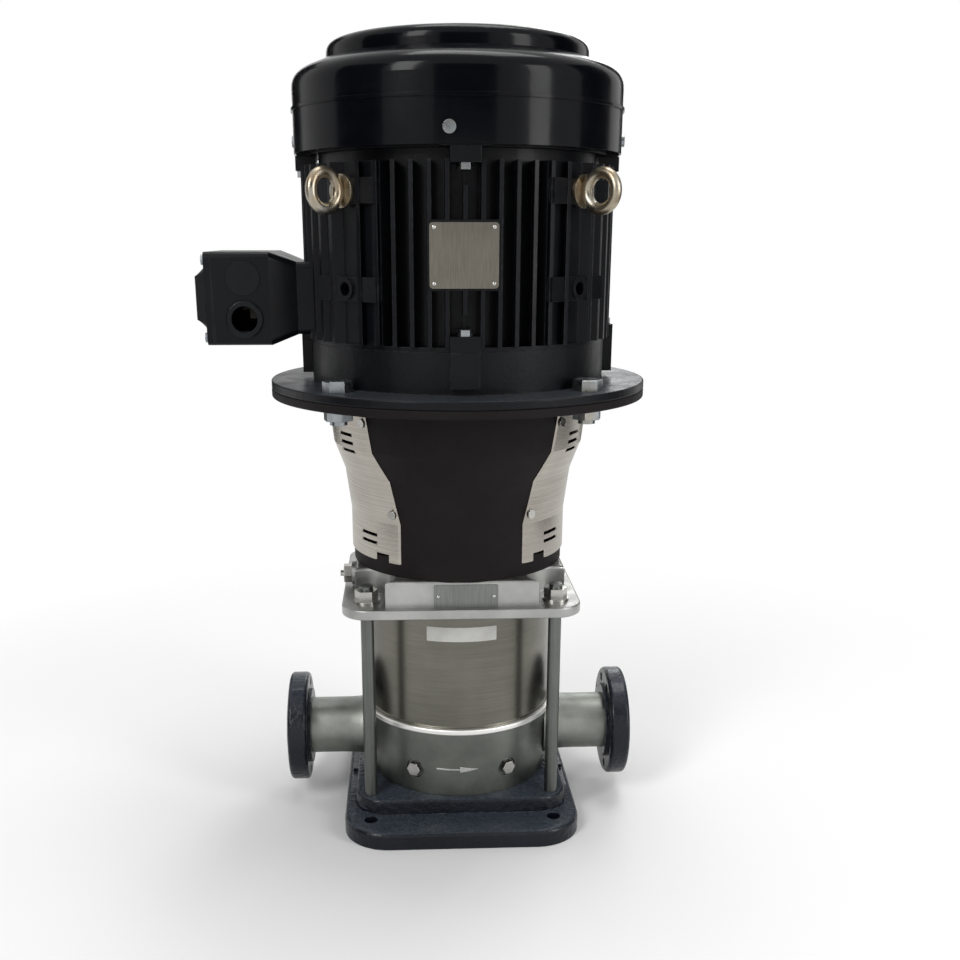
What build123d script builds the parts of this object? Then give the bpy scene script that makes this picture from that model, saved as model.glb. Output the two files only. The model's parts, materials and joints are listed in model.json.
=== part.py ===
"""Vertical in-line multistage centrifugal pump with a flange-mounted motor.

Millimetres, +Z up. The origin is on the floor, under the shaft's axis, in the middle of the foot.
The suction port looks along -X and the discharge port along +X. The front is -Y.
"""

from build123d import *
import os
from math import atan2, cos, degrees, radians, sin, sqrt

os.makedirs("parts", exist_ok=True)


# General clearances
slip = 0.3                  # radial gap of pieces that slide over each other
bore_gap = 0.1              # radial gap of pieces keyed on a shaft
edge_round = 1.5            # radius of a casting's edges
half_right = 45             # first angle of four places on the diagonals
hexagon_sides = 6
thread_gap = 0.2            # radial gap that stands for a thread

# Foot
foot_x = 240.0
foot_y = 284.0
foot_corner = 46.0
lip_height = 18.0
lip_round = 5.0
deck_x = 220.0
deck_y = 206.0
deck_corner = 32.0
deck_height = 33.0
deck_round = 3.0
deck_wall = 11.0
deck_draft = 6              # lean of the deck's sides, in degrees
foot_wall = 9.0
foot_rib = 8.0
foot_hub_radius = 30.0
foot_hole_x = 186.0
foot_hole_y = 224.0
foot_hole = 14.0
foot_bolt_pad = 15.0
spigot_radius = 40.0
spigot_depth = 6.0

# Stay rods, nuts and washers
rod_x = 93.0
rod_y = 84.0
rod_radius = 6.5
rod_thread_radius = 5.8
rod_thread_depth = 24.0
rod_over_nut = 4.0
rod_boss_radius = 13.0
washer_radius = 13.0
washer_height = 2.5
stay_nut_flats = 20.0
stay_nut_height = 10.0

# Port casing
casing_radius = 97.0
casing_foot_radius = 94.0
casing_wall = 11.0
casing_floor = 6.0
casing_lip_radius = 102.0
casing_lip_height = 6.0
casing_top = 110.0
spigot_ring_height = 8.0
inlet_tube_radius = 50.0
inlet_tube_wall = 6.0
inlet_tube_over = 2.0
port_height = 74.0
port_face = 182.5
port_bore = 25.0
neck_radius = 30.0
neck_lean = 0.6             # slope of the neck's flare where it starts
neck_flare_radius = 35.0
neck_flare_length = 30.0
drain_angle = 30.0
drain_height = 60.0
drain_radius = 6.0
drain_flats = 13.0
drain_head = 7.0
drain_spot_radius = 10.0
drain_spot = 2.0

# Port collars and loose flanges
collar_radius = 39.0
collar_width = 7.5
collar_end = 2.5
flange_radius = 58.0
flange_width = 20.0
flange_set_back = 2.0
flange_round = 4.0
flange_hub_radius = 45.0
flange_hub_step = 3.0
flange_circle = 47.0
flange_holes = 8
flange_hole = 10.0

# Sleeve and O-rings
sleeve_radius = 97.0
sleeve_wall = 2.5
sleeve_seat = 5.0
seal_section = 1.4
seal_groove_depth = 3.0
seal_groove_width = 3.6

# Pump head
head_bottom = 232.0
head_plate_x = 234.0
head_plate_y = 228.0
head_plate_corner = 27.0
head_plate_height = 10.0
head_top = 268.0
head_body = 210.0
head_corner = 12.0
head_pocket = 28.0
head_round = 3.0
head_roof = 12.0
seal_boss_radius = 34.0
seal_boss_top = 276.0
seal_bore = 24.0
vent_y = -28.0
vent_height = 255.0
vent_boss_radius = 12.0
vent_boss = 4.0
vent_radius = 7.0
vent_flats = 17.0
vent_head = 8.0
vent_stem_radius = 3.0
vent_stem = 4.0

# Mechanical seal
seal_cover_radius = 40.0
seal_cover_height = 8.0
seal_cover_circle = 33.0
seal_cover_screw = 3.0
seal_screw_depth = 10.0
seal_seat_radius = 20.0
seal_seat_height = 8.0
seal_ring_radius = 16.0
seal_ring_height = 7.8
seal_face_gap = 0.2
seal_spring_radius = 15.0
seal_spring_height = 16.0
seal_collar_height = 4.0

# Pump shaft and stages
shaft_radius = 8.0
shaft_bottom = 88.0
shaft_top = 330.0
stages = 3
stage_height = 36.0
chamber_radius = 72.5
chamber_wall = 2.5
stage_roof = 4.0
guide_floor = 2.0
guide_height = 10.0
guide_radius = 62.0
guide_vanes = 7
eye_radius = 28.0
impeller_radius = 59.0
impeller_height = 17.0
impeller_eye = 24.5
impeller_lift = 1.0
impeller_shroud = 2.0
impeller_tip = 7.0
impeller_vanes = 6
impeller_hub = 13.0
eye_rise = 1.0              # the eye collar's rise into the impeller
blade_set_back = 4.0        # from the hub to the blades' inner ends
vane_thickness = 2.2
vane_turn = 62.0
inlet_guide_height = 6.0
inlet_guide_radius = 70.0
bush_height = 16.0
bush_wall = 3.6
bush_bottom = 91.0
spider_arms = 3
spider_arm_width = 5.0
spider_hub_wall = 4.0
spacer_radius = 12.0
discharge_ring_height = 6.0
discharge_wall = 3.0
discharge_holes = 12

# Coupling
coupling_radius = 30.0
coupling_bottom = 296.0
coupling_top = 372.0
coupling_split = 1.0
coupling_screw_x = 21.0
coupling_screw_inset = 16.0
coupling_screw_radius = 4.0
coupling_screw_head = 6.0
coupling_screw_head_height = 6.0
coupling_screw_seat = 15.0
coupling_shaft_radius = 14.0
coupling_shaft_top = 388.0
shaft_end_gap = 1.5

# Motor stool
stool_foot_height = 10.0
stool_radius = 107.0
stool_step_low = 320.0
stool_step_mid = 362.0
stool_step_high = 390.0
stool_mid_radius = 112.5
stool_high_radius = 123.0
stool_top_radius = 128.0
stool_wall = 8.0
stool_top = 443.0
stool_flange_height = 8.0
stool_flange_radius = 184.0
stool_root_round = 6.0
stool_web = 6.0
stool_bore = 115.0
stool_floor_bore = 46.0
window_y = 168.0
window_bottom = 286.0
window_top = 412.0
window_corner = 10.0
stool_screw_x = 78.0
stool_screw_y = 25.0
stool_screw_radius = 5.0
stool_screw_flats = 16.0
stool_screw_head = 6.0

# Coupling guards
guard_wall = 1.5
guard_y = 180.0
guard_bottom = 281.0
guard_top = 424.0
guard_slot = 3.2
guard_slot_length = 24.0
guard_slot_y = 60.0
guard_slot_pitch = 8.0
guard_high_slots = 3
guard_high_slot_z = 396.0
guard_low_slots = 2
guard_low_slot_z = 302.0
guard_notch = 8.0
guard_notch_width = 14.0
guard_screw_y = 87.0
guard_screw_radius = 2.5
guard_screw_head = 4.5
guard_screw_head_height = 2.4
guard_screw_low = 330.0
guard_screw_high = 418.0
guard_screw_depth = 6.0
guard_screw_seat = 1.1      # the head's seat on the sloping guard

# Motor flange shield
register_depth = 4.0
motor_flange_height = 8.0
motor_bolt_circle = 160.0
motor_bolt_radius = 8.0
motor_bolt_hole = 9.0
motor_bolt_flats = 24.0
motor_bolt_head = 10.0
motor_nut_height = 10.0
motor_bolt_over = 4.0
drum_radius = 143.0
drum_top = 488.0
drum_wall = 10.0
lug_width = 26.0
lug_radius = 152.0
lug_low = 457.0
lug_high = 502.0
lug_bolt_radius = 4.0
lug_bolt_flats = 13.0
lug_bolt_head = 5.5
lug_bolt_centre = 144.0

# Motor housing
housing_top = 656.0
housing_radius = 131.0
housing_bore = 118.0
fin_radius = 148.0
fin_width = 3.6
fin_pitch = 15.2
fins_front = 13
fins_side = 13
panel_distance = 140.0
panel_width = 78.0
pad_distance = 146.0
pad_width = 74.0
pad_height = 21.0
pad_high = 622.0
pad_low = 540.0
pad_boss_radius = 9.5
pad_boss = 2.0
pad_thread_radius = 6.0
pad_thread_depth = 14.0
top_lug_bottom = 643.0
box_seat = 152.0
box_seat_y = 96.0
box_seat_bottom = 496.0
box_seat_top = 562.0
lead_hole = 28.0
lead_reach = 28.0           # how far the lead hole's cut runs past the box seat
fin_bottom = 492.0
fin_top = 646.0
plate_pad_x = 62.0
plate_pad_z = 58.0
plate_pad_height = 569.0
plate_pad_y = 146.5
tool_room = 18.0

# Motor inside
stator_bore = 75.0
stator_bottom = 522.0
stator_top = 626.0
winding_inner = 82.0
winding_outer = 110.0
winding_height = 22.0
winding_round = 6.0
air_gap = 0.6
rotor_overhang = 5.0
rotor_ring_inner = 52.0
rotor_ring_height = 8.0
motor_shaft_radius = 15.0
core_shaft_radius = 18.0
bearing_radius = 31.0
bearing_width = 16.0
bearing_race = 5.0
lower_bearing_bottom = 458.0
upper_bearing_bottom = 654.0
motor_shaft_top = 700.0
fan_shaft_radius = 11.0
bearing_housing_wall = 8.0
upper_shield_height = 8.0
upper_shield_radius = 140.0
bearing_cap = 3.0

# Cooling fan
fan_bottom = 680.0
fan_hub_radius = 22.0
fan_hub_height = 18.0
fan_plate = 3.0
fan_radius = 118.0
fan_plate_radius = 100.0
fan_blade_height = 30.0
fan_blade_width = 2.5
fan_blades = 8

# Fan cover
cover_radius = 153.5
cover_wall = 2.0
cover_bottom = 657.0
cover_bead_low = 693.5
cover_bead = 3.0
cover_bead_out = 1.5
cover_shoulder = 713.0
crown_foot_radius = 126.0
crown_foot = 736.0
crown_radius = 121.0
crown_lean = 0.55           # slope of the cover's shoulder where it meets the crown
crown_top_lean = 0.05
crown_side = 743.0
crown_top_radius = 104.0
cover_top = 756.0
grille_rings = 3
grille_first = 30.0
grille_pitch = 24.0
grille_slot = 6.0
grille_slots = 12
grille_web = 7.0
cover_pad_height = 670.0
cover_pad_width = 44.0
cover_pad_top = 678.0
cover_screw_turn = -5.0
cover_pads = 4
cover_screw_radius = 2.5
cover_screw_head = 5.5
cover_screw_head_height = 3.0
cover_screw_depth = 8.0

# Lifting eyebolts
eye_ring_radius = 15.0
front_quarters = (2, 3)     # corners that carry a lifting eye
eye_ring_section = 5.0
eye_collar_radius = 14.0
eye_collar = 4.0
eye_shank = 10.0
eye_shank_radius = 5.8

# Cable box
box_y = 120.0
box_bottom = 487.0
box_top = 571.0
box_inner_x = 176.0
box_outer_x = 228.0
box_wall = 4.0
box_corner = 6.0
gasket = 1.5
lid_rim = 6.0
lid_crown = 12.0
lid_draft = 40              # lean of the lid's crown, in degrees
lid_margin = 12.0
entry_x = 200.0
entry_high = 548.0
entry_low = 511.0
entry_ring_radius = 17.0
entry_hole_radius = 12.0
entry_ring_out = 3.0
entry_seat_radius = 14.0
blank_radius = 15.5
blank_out = 1.2
blank_stem_radius = 12.0
lid_screw_inset = 7.0
lid_screw_radius = 2.5
lid_screw_head = 4.5
lid_screw_head_height = 2.5
lid_screw_depth = 8.0
lid_post_radius = 6.0
block_x = 20.0
block_y = 60.0
block_z = 36.0
block_place_y = -20.0
lead_place_y = 30.0
block_stud_radius = 2.5
block_stud_out = 8.0
block_stud_pitch = 18.0
block_columns = 3


def outline(points, plane=Plane.XZ):
    """A closed face through the points of one plane."""
    with BuildSketch(plane) as face:
        with BuildLine():
            Polyline(*points, close=True)
        make_face()
    return face.sketch


def ring_outline(inner, outer, bottom, top, plane=Plane.XZ):
    """The half section of a plain ring."""
    return outline([(inner, bottom), (outer, bottom), (outer, top), (inner, top)], plane)


def disc(plane, radius):
    """A round face on a plane."""
    with BuildSketch(plane) as face:
        Circle(radius)
    return face.sketch


def hexagon(plane, flats):
    """A hexagon on a plane, by its width across flats."""
    with BuildSketch(plane) as face:
        RegularPolygon(flats / 2, hexagon_sides, major_radius=False)
    return face.sketch


def block(plane, width, depth, corner=0.0):
    """A rectangle on a plane, with round corners where a radius is given."""
    with BuildSketch(plane) as face:
        if corner > 0:
            RectangleRounded(width, depth, corner)
        else:
            Rectangle(width, depth)
    return face.sketch


def corners(half_x, half_y):
    """The four corner places of a rectangle about the axis."""
    return [(-half_x, -half_y), (half_x, -half_y), (half_x, half_y), (-half_x, half_y)]


def level_plane(x, y, height):
    """A level plane facing up, with its middle at a place."""
    return Plane(origin=(x, y, height))


def radial_plane(angle, distance, height):
    """A plane facing outward from the axis. Its local x is level and its local y is up."""
    turn = radians(angle)
    outward = Vector(cos(turn), sin(turn), 0)
    level = Vector(-sin(turn), cos(turn), 0)
    return Plane(origin=outward * distance + Vector(0, 0, height), x_dir=level, z_dir=outward)


def side_plane(side, distance, y, height):
    """A plane facing along X, to the left for side -1 and to the right for side 1."""
    return Plane(origin=(side * distance, y, height), x_dir=(0, side, 0), z_dir=(side, 0, 0))


def finish(piece, name):
    """Label a piece and write it."""
    piece.part.label = name
    export_step(piece.part, f"parts/{name}.step")


# Foot plate: a lip with the anchor holes, a raised deck, hollow and ribbed below
deck_under = deck_height - deck_wall
with BuildPart() as foot_plate:
    extrude(block(Plane.XY, foot_x, foot_y, foot_corner), amount=lip_height)
    fillet(foot_plate.edges().group_by(Axis.Z)[-1], lip_round)
    extrude(block(Plane.XY.offset(lip_height), deck_x, deck_y, deck_corner),
            amount=deck_height - lip_height, taper=deck_draft)
    fillet(foot_plate.faces().sort_by(Axis.Z)[-1].edges(), deck_round)
    extrude(block(Plane.XY, foot_x - 2 * foot_wall, foot_y - 2 * foot_wall, foot_corner - foot_wall),
            amount=lip_height - foot_wall, mode=Mode.SUBTRACT)
    extrude(block(Plane.XY, deck_x - 2 * foot_wall, deck_y - 2 * foot_wall, deck_corner - foot_wall),
            amount=deck_under, mode=Mode.SUBTRACT)
    extrude(block(Plane.XY, foot_x - foot_wall, foot_rib), amount=deck_under)
    extrude(block(Plane.XY, foot_rib, foot_y - foot_wall), amount=lip_height - foot_wall)
    extrude(block(Plane.XY, foot_rib, deck_y - foot_wall), amount=deck_under)
    extrude(disc(Plane.XY, foot_hub_radius), amount=deck_under)
    for x, y in corners(foot_hole_x / 2, foot_hole_y / 2):
        extrude(disc(level_plane(x, y, 0), foot_bolt_pad), amount=lip_height - foot_wall)
    for x, y in corners(rod_x, rod_y):
        extrude(disc(level_plane(x, y, lip_height - foot_wall), rod_boss_radius),
                amount=deck_under - lip_height + foot_wall)
    extrude(disc(Plane.XY.offset(deck_height - spigot_depth), spigot_radius + slip),
            amount=spigot_depth, mode=Mode.SUBTRACT)
    with Locations((0, 0, lip_height)):
        with GridLocations(foot_hole_x, foot_hole_y, 2, 2):
            Hole(foot_hole / 2, 2 * lip_height)
    with Locations((0, 0, deck_height)):
        with GridLocations(2 * rod_x, 2 * rod_y, 2, 2):
            Hole(rod_thread_radius + thread_gap, rod_thread_depth)
finish(foot_plate, "foot_plate")


# Port casing: a barrel with a suction duct to the middle and a ring-shaped discharge room
cavity_radius = casing_radius - casing_wall
casing_lip_bottom = casing_top - casing_lip_height
sleeve_inner = sleeve_radius - sleeve_wall
cavity_floor = deck_height + casing_floor
spigot_ring_radius = sleeve_inner - slip
seal_groove_radius = spigot_ring_radius - seal_groove_depth
inlet_tube_top = casing_top + inlet_tube_over
neck_end = port_face - collar_end
barrel_seal_height = casing_top + spigot_ring_height / 2


def neck_outline(side):
    """Half section of a neck, flared where it leaves the barrel."""
    flare_start = casing_radius - casing_wall / 2
    flare_end = casing_radius + neck_flare_length
    with BuildSketch(Plane(origin=(0, 0, port_height), x_dir=(1, 0, 0), z_dir=(0, -1, 0))) as face:
        with BuildLine():
            Line((side * flare_start, 0), (side * flare_start, neck_flare_radius))
            Spline((side * flare_start, neck_flare_radius), (side * flare_end, neck_radius),
                   tangents=[(side, -neck_lean), (side, 0)])
            Line((side * flare_end, neck_radius), (side * neck_end, neck_radius))
            Line((side * neck_end, neck_radius), (side * neck_end, 0))
            Line((side * neck_end, 0), (side * flare_start, 0))
        make_face()
    return face.sketch


port_axis = Axis((0, 0, port_height), (1, 0, 0))
with BuildPart() as casing_room:
    revolve(ring_outline(inlet_tube_radius, cavity_radius, cavity_floor,
                         casing_top + spigot_ring_height), axis=Axis.Z)
    extrude(disc(side_plane(-1, 0, 0, port_height), neck_radius), amount=casing_radius, mode=Mode.SUBTRACT)

with BuildPart() as port_casing:
    revolve(outline([(0, deck_height), (casing_foot_radius, deck_height),
                     (casing_radius, casing_lip_bottom), (casing_lip_radius, casing_lip_bottom),
                     (casing_lip_radius, casing_top), (0, casing_top)]), axis=Axis.Z)
    lip_edges = port_casing.edges().filter_by(GeomType.CIRCLE)
    fillet(lip_edges.filter_by(lambda e: e.radius > casing_radius + 1), edge_round)
    revolve(ring_outline(0, spigot_radius, deck_height - spigot_depth, deck_height), axis=Axis.Z)
    revolve(ring_outline(cavity_radius, spigot_ring_radius, casing_top,
                         casing_top + spigot_ring_height), axis=Axis.Z)
    revolve(ring_outline(0, inlet_tube_radius, casing_top, inlet_tube_top), axis=Axis.Z)
    for side in (-1, 1):
        revolve(neck_outline(side), axis=port_axis)
    add(casing_room.part, mode=Mode.SUBTRACT)
    extrude(disc(Plane.XY.offset(cavity_floor), inlet_tube_radius - inlet_tube_wall),
            amount=inlet_tube_top - cavity_floor, mode=Mode.SUBTRACT)
    extrude(disc(side_plane(-1, 0, 0, port_height), port_bore), amount=port_face, mode=Mode.SUBTRACT)
    extrude(disc(side_plane(1, inlet_tube_radius + 1, 0, port_height), port_bore),
            amount=port_face, mode=Mode.SUBTRACT)
    revolve(ring_outline(spigot_ring_radius, sleeve_radius + slip, casing_top - sleeve_seat,
                         casing_top + spigot_ring_height), axis=Axis.Z, mode=Mode.SUBTRACT)
    revolve(ring_outline(seal_groove_radius, spigot_ring_radius + 1,
                         barrel_seal_height - seal_groove_width / 2,
                         barrel_seal_height + seal_groove_width / 2), axis=Axis.Z, mode=Mode.SUBTRACT)
    for turn in (-drain_angle, drain_angle):
        plane = radial_plane(-90 + turn, cavity_radius - 1, drain_height)
        extrude(disc(plane, drain_radius + thread_gap), amount=casing_wall + 2, mode=Mode.SUBTRACT)
        plane = radial_plane(-90 + turn, casing_foot_radius - drain_spot, drain_height)
        extrude(disc(plane, drain_spot_radius), amount=casing_wall, mode=Mode.SUBTRACT)
finish(port_casing, "port_casing")

with BuildPart() as drain_plugs:
    for turn in (-drain_angle, drain_angle):
        plane = radial_plane(-90 + turn, cavity_radius, drain_height)
        extrude(disc(plane, drain_radius), amount=casing_foot_radius - drain_spot - cavity_radius)
        plane = radial_plane(-90 + turn, casing_foot_radius - drain_spot, drain_height)
        extrude(hexagon(plane, drain_flats), amount=drain_head)
finish(drain_plugs, "drain_plugs")


# Welded collars at the ends of the necks
with BuildPart() as port_collars:
    for side in (-1, 1):
        plane = side_plane(side, port_face - collar_width, 0, port_height)
        extrude(disc(plane, collar_radius), amount=collar_width)
        extrude(disc(plane, neck_radius + bore_gap), amount=collar_width - collar_end, mode=Mode.SUBTRACT)
        extrude(disc(plane, port_bore), amount=collar_width, mode=Mode.SUBTRACT)
finish(port_collars, "port_collars")


def port_flange(side, name):
    """A loose flange that turns on its neck behind the collar."""
    inner_face = port_face - flange_set_back - flange_width
    plane = side_plane(side, inner_face, 0, port_height)
    collar_back = port_face - collar_width - slip
    with BuildPart() as flange:
        extrude(disc(plane, flange_radius), amount=flange_width)
        fillet(flange.edges().filter_by(GeomType.CIRCLE), flange_round)
        extrude(disc(plane.offset(-flange_hub_step), flange_hub_radius - flange_hole / 2),
                amount=flange_width)
        extrude(disc(plane.offset(-flange_hub_step), neck_radius + slip),
                amount=flange_width + flange_hub_step, mode=Mode.SUBTRACT)
        extrude(disc(side_plane(side, collar_back, 0, port_height), collar_radius + slip),
                amount=flange_width, mode=Mode.SUBTRACT)
        with Locations(plane):
            with PolarLocations(flange_circle, flange_holes, start_angle=180 / flange_holes):
                Hole(flange_hole / 2, 4 * flange_width)
    finish(flange, name)


port_flange(-1, "suction_flange")
port_flange(1, "discharge_flange")


# Sleeve between the casing and the head, with its two O-rings
sleeve_bottom = casing_top - sleeve_seat
sleeve_top = head_bottom + sleeve_seat
head_seal_height = head_bottom - spigot_ring_height / 2
with BuildPart() as outer_sleeve:
    revolve(ring_outline(sleeve_inner, sleeve_radius, sleeve_bottom, sleeve_top), axis=Axis.Z)
finish(outer_sleeve, "outer_sleeve")

seal_centre = sleeve_inner - seal_groove_depth / 2 - slip / 2
with BuildPart() as sleeve_seals:
    for height in (barrel_seal_height, head_seal_height):
        with BuildSketch(Plane.XZ):
            with Locations((seal_centre, height)):
                Circle(seal_section)
        revolve(axis=Axis.Z)
finish(sleeve_seals, "sleeve_seals")


# Pump head: a square plate with rod corners, a body with nut pockets and the seal boss
plate_top = head_bottom + head_plate_height
spigot_bottom = head_bottom - spigot_ring_height
with BuildPart() as pump_head:
    extrude(block(Plane.XY.offset(head_bottom), head_plate_x, head_plate_y, head_plate_corner),
            amount=head_plate_height)
    fillet(pump_head.edges().filter_by(Plane.XY), edge_round)
    with BuildSketch(Plane.XY.offset(head_bottom + 2)):
        RectangleRounded(head_body, head_body, head_corner)
        with Locations(*corners(rod_x, rod_y)):
            Circle(head_pocket, mode=Mode.SUBTRACT)
    extrude(amount=head_top - head_bottom - 2)
    fillet(pump_head.faces().sort_by(Axis.Z)[-1].edges(), head_round)
    revolve(ring_outline(0, seal_boss_radius, plate_top, seal_boss_top), axis=Axis.Z)
    extrude(disc(side_plane(-1, head_body / 2 - vent_boss, vent_y, vent_height), vent_boss_radius),
            amount=2 * vent_boss)
    revolve(ring_outline(cavity_radius, spigot_ring_radius, spigot_bottom, head_bottom), axis=Axis.Z)
    revolve(outline([(seal_boss_radius, plate_top), (seal_boss_radius, head_top - head_roof),
                     (cavity_radius - head_roof, head_top - head_roof), (cavity_radius, plate_top),
                     (cavity_radius, spigot_bottom - 1), (0, spigot_bottom - 1), (0, plate_top)]),
            axis=Axis.Z, mode=Mode.SUBTRACT)
    extrude(disc(Plane.XY.offset(plate_top), seal_bore), amount=seal_boss_top, mode=Mode.SUBTRACT)
    revolve(ring_outline(spigot_ring_radius, sleeve_radius + slip, head_bottom, sleeve_top + slip),
            axis=Axis.Z, mode=Mode.SUBTRACT)
    revolve(ring_outline(seal_groove_radius, spigot_ring_radius + 1,
                         head_seal_height - seal_groove_width / 2,
                         head_seal_height + seal_groove_width / 2), axis=Axis.Z, mode=Mode.SUBTRACT)
    with Locations((0, 0, plate_top)):
        with GridLocations(2 * rod_x, 2 * rod_y, 2, 2):
            Hole(rod_radius + slip, 2 * head_plate_height)
    extrude(disc(side_plane(-1, cavity_radius - head_roof, vent_y, vent_height), vent_radius + slip),
            amount=casing_radius, mode=Mode.SUBTRACT)
    with Locations((0, 0, seal_boss_top)):
        with PolarLocations(seal_cover_circle - 4, 4, start_angle=half_right):
            Hole(seal_cover_screw, seal_screw_depth)
finish(pump_head, "pump_head")


# Vent plug: hex body in the head's left boss, with the bleed stem in its middle
vent_face = head_body / 2 + vent_boss
with BuildPart() as vent_plug:
    extrude(disc(side_plane(-1, cavity_radius - head_roof / 2, vent_y, vent_height), vent_radius),
            amount=vent_face - cavity_radius + head_roof / 2)
    extrude(hexagon(side_plane(-1, vent_face + slip, vent_y, vent_height), vent_flats), amount=vent_head)
    extrude(disc(side_plane(-1, vent_face, vent_y, vent_height), vent_radius), amount=slip)
    extrude(disc(side_plane(-1, vent_face + vent_head, vent_y, vent_height), vent_stem_radius),
            amount=vent_stem)
finish(vent_plug, "vent_plug")


# Stay rods with washers and nuts at the head's corners
washer_top = plate_top + washer_height
stay_nut_top = washer_top + stay_nut_height
with BuildPart() as stay_rods:
    for x, y in corners(rod_x, rod_y):
        with Locations((x, y, deck_height)):
            Cylinder(rod_radius, stay_nut_top + rod_over_nut - deck_height,
                     align=(Align.CENTER, Align.CENTER, Align.MIN))
        with Locations((x, y, deck_height)):
            Cylinder(rod_thread_radius, rod_thread_depth - 1, align=(Align.CENTER, Align.CENTER, Align.MAX))
finish(stay_rods, "stay_rods")

with BuildPart() as stay_nuts:
    for base, height in ((plate_top, washer_height), (washer_top, stay_nut_height)):
        with BuildSketch(Plane.XY.offset(base)):
            with Locations(*corners(rod_x, rod_y)):
                if base == plate_top:
                    Circle(washer_radius)
                else:
                    RegularPolygon(stay_nut_flats / 2, hexagon_sides, major_radius=False)
                Circle(rod_radius + bore_gap, mode=Mode.SUBTRACT)
        extrude(amount=height)
finish(stay_nuts, "stay_nuts")


# Stage heights, from the inlet guide up
shaft_bore = shaft_radius + bore_gap
inlet_guide_top = inlet_tube_top + inlet_guide_height
stage_bottoms = [inlet_guide_top + stage_height * stage for stage in range(stages)]
stack_top = inlet_guide_top + stage_height * stages
impeller_bottoms = [bottom + impeller_lift for bottom in stage_bottoms]

# Inlet guide: a ring on the inlet tube, with a spider that carries the lower bush
bush_outer = shaft_bore + bush_wall
spider_hub = bush_outer + spider_hub_wall
inlet_clear = inlet_tube_radius - inlet_tube_wall - slip
with BuildPart() as inlet_guide:
    revolve(ring_outline(eye_radius, inlet_guide_radius, inlet_tube_top, inlet_guide_top), axis=Axis.Z)
    revolve(ring_outline(inlet_clear - casing_floor, inlet_clear, bush_bottom, inlet_tube_top), axis=Axis.Z)
    revolve(outline([(eye_radius, inlet_tube_top), (inlet_clear, inlet_tube_top),
                     (inlet_clear, inlet_tube_top - casing_floor)]), axis=Axis.Z)
    with BuildSketch(Plane.XY.offset(bush_bottom)):
        Circle(spider_hub)
        with PolarLocations(0, spider_arms):
            with Locations((inlet_clear / 2, 0)):
                Rectangle(inlet_clear - 1, spider_arm_width)
    extrude(amount=bush_height)
    extrude(disc(Plane.XY.offset(bush_bottom), bush_outer + bore_gap), amount=bush_height, mode=Mode.SUBTRACT)
finish(inlet_guide, "inlet_guide")

with BuildPart() as guide_bush:
    revolve(ring_outline(shaft_bore, bush_outer, bush_bottom, bush_bottom + bush_height), axis=Axis.Z)
finish(guide_bush, "guide_bush")


def blade_face(plane, start_radius, end_radius, turn, thickness):
    """A blade's plan: a curve from a small radius to a large one, thick all along."""
    steps = 4
    middle = []
    for step in range(steps + 1):
        share = step / steps
        radius = start_radius + (end_radius - start_radius) * share
        angle = radians(turn) * share
        middle.append(Vector(radius * cos(angle), radius * sin(angle)))
    sides = {1: [], -1: []}
    for number, point in enumerate(middle):
        before = middle[max(number - 1, 0)]
        after = middle[min(number + 1, steps)]
        along = (after - before).normalized()
        across = Vector(-along.Y, along.X)
        for side in sides:
            sides[side].append(point + across * (side * thickness / 2))
    with BuildSketch(plane) as face:
        with BuildLine():
            outer = Spline(*sides[1])
            inner = Spline(*sides[-1])
            Line(outer @ 0, inner @ 0)
            Line(outer @ 1, inner @ 1)
        make_face()
    return face.sketch


def turned_about(face, angle):
    """The same face, turned about the shaft's axis."""
    return face.rotate(Axis.Z, angle)


def stage_chamber(bottom, name):
    """A cup with a guide plate and curved return vanes under its roof."""
    top = bottom + stage_height
    roof = top - stage_roof
    guide_top = roof - guide_height
    plate = guide_top - guide_floor
    vane = blade_face(Plane.XY.offset(guide_top), eye_radius + eye_rise, guide_radius - 1, -vane_turn,
                      vane_thickness)
    with BuildPart() as chamber:
        revolve(ring_outline(chamber_radius - chamber_wall, chamber_radius, bottom, top), axis=Axis.Z)
        revolve(ring_outline(eye_radius, chamber_radius, roof, top), axis=Axis.Z)
        revolve(ring_outline(impeller_hub + slip, guide_radius, plate, guide_top), axis=Axis.Z)
        for number in range(guide_vanes):
            extrude(turned_about(vane, 360 * number / guide_vanes), amount=guide_height)
    finish(chamber, name)


for number, bottom in enumerate(stage_bottoms):
    stage_chamber(bottom, f"stage_chamber_{number + 1}")

# Neck rings in the eyes of the inlet guide and the chambers below each impeller
eye_gap = impeller_eye + slip
with BuildPart() as neck_rings:
    for bottom in stage_bottoms:
        revolve(ring_outline(eye_gap, eye_radius - bore_gap, bottom - stage_roof, bottom), axis=Axis.Z)
finish(neck_rings, "neck_rings")


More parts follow.
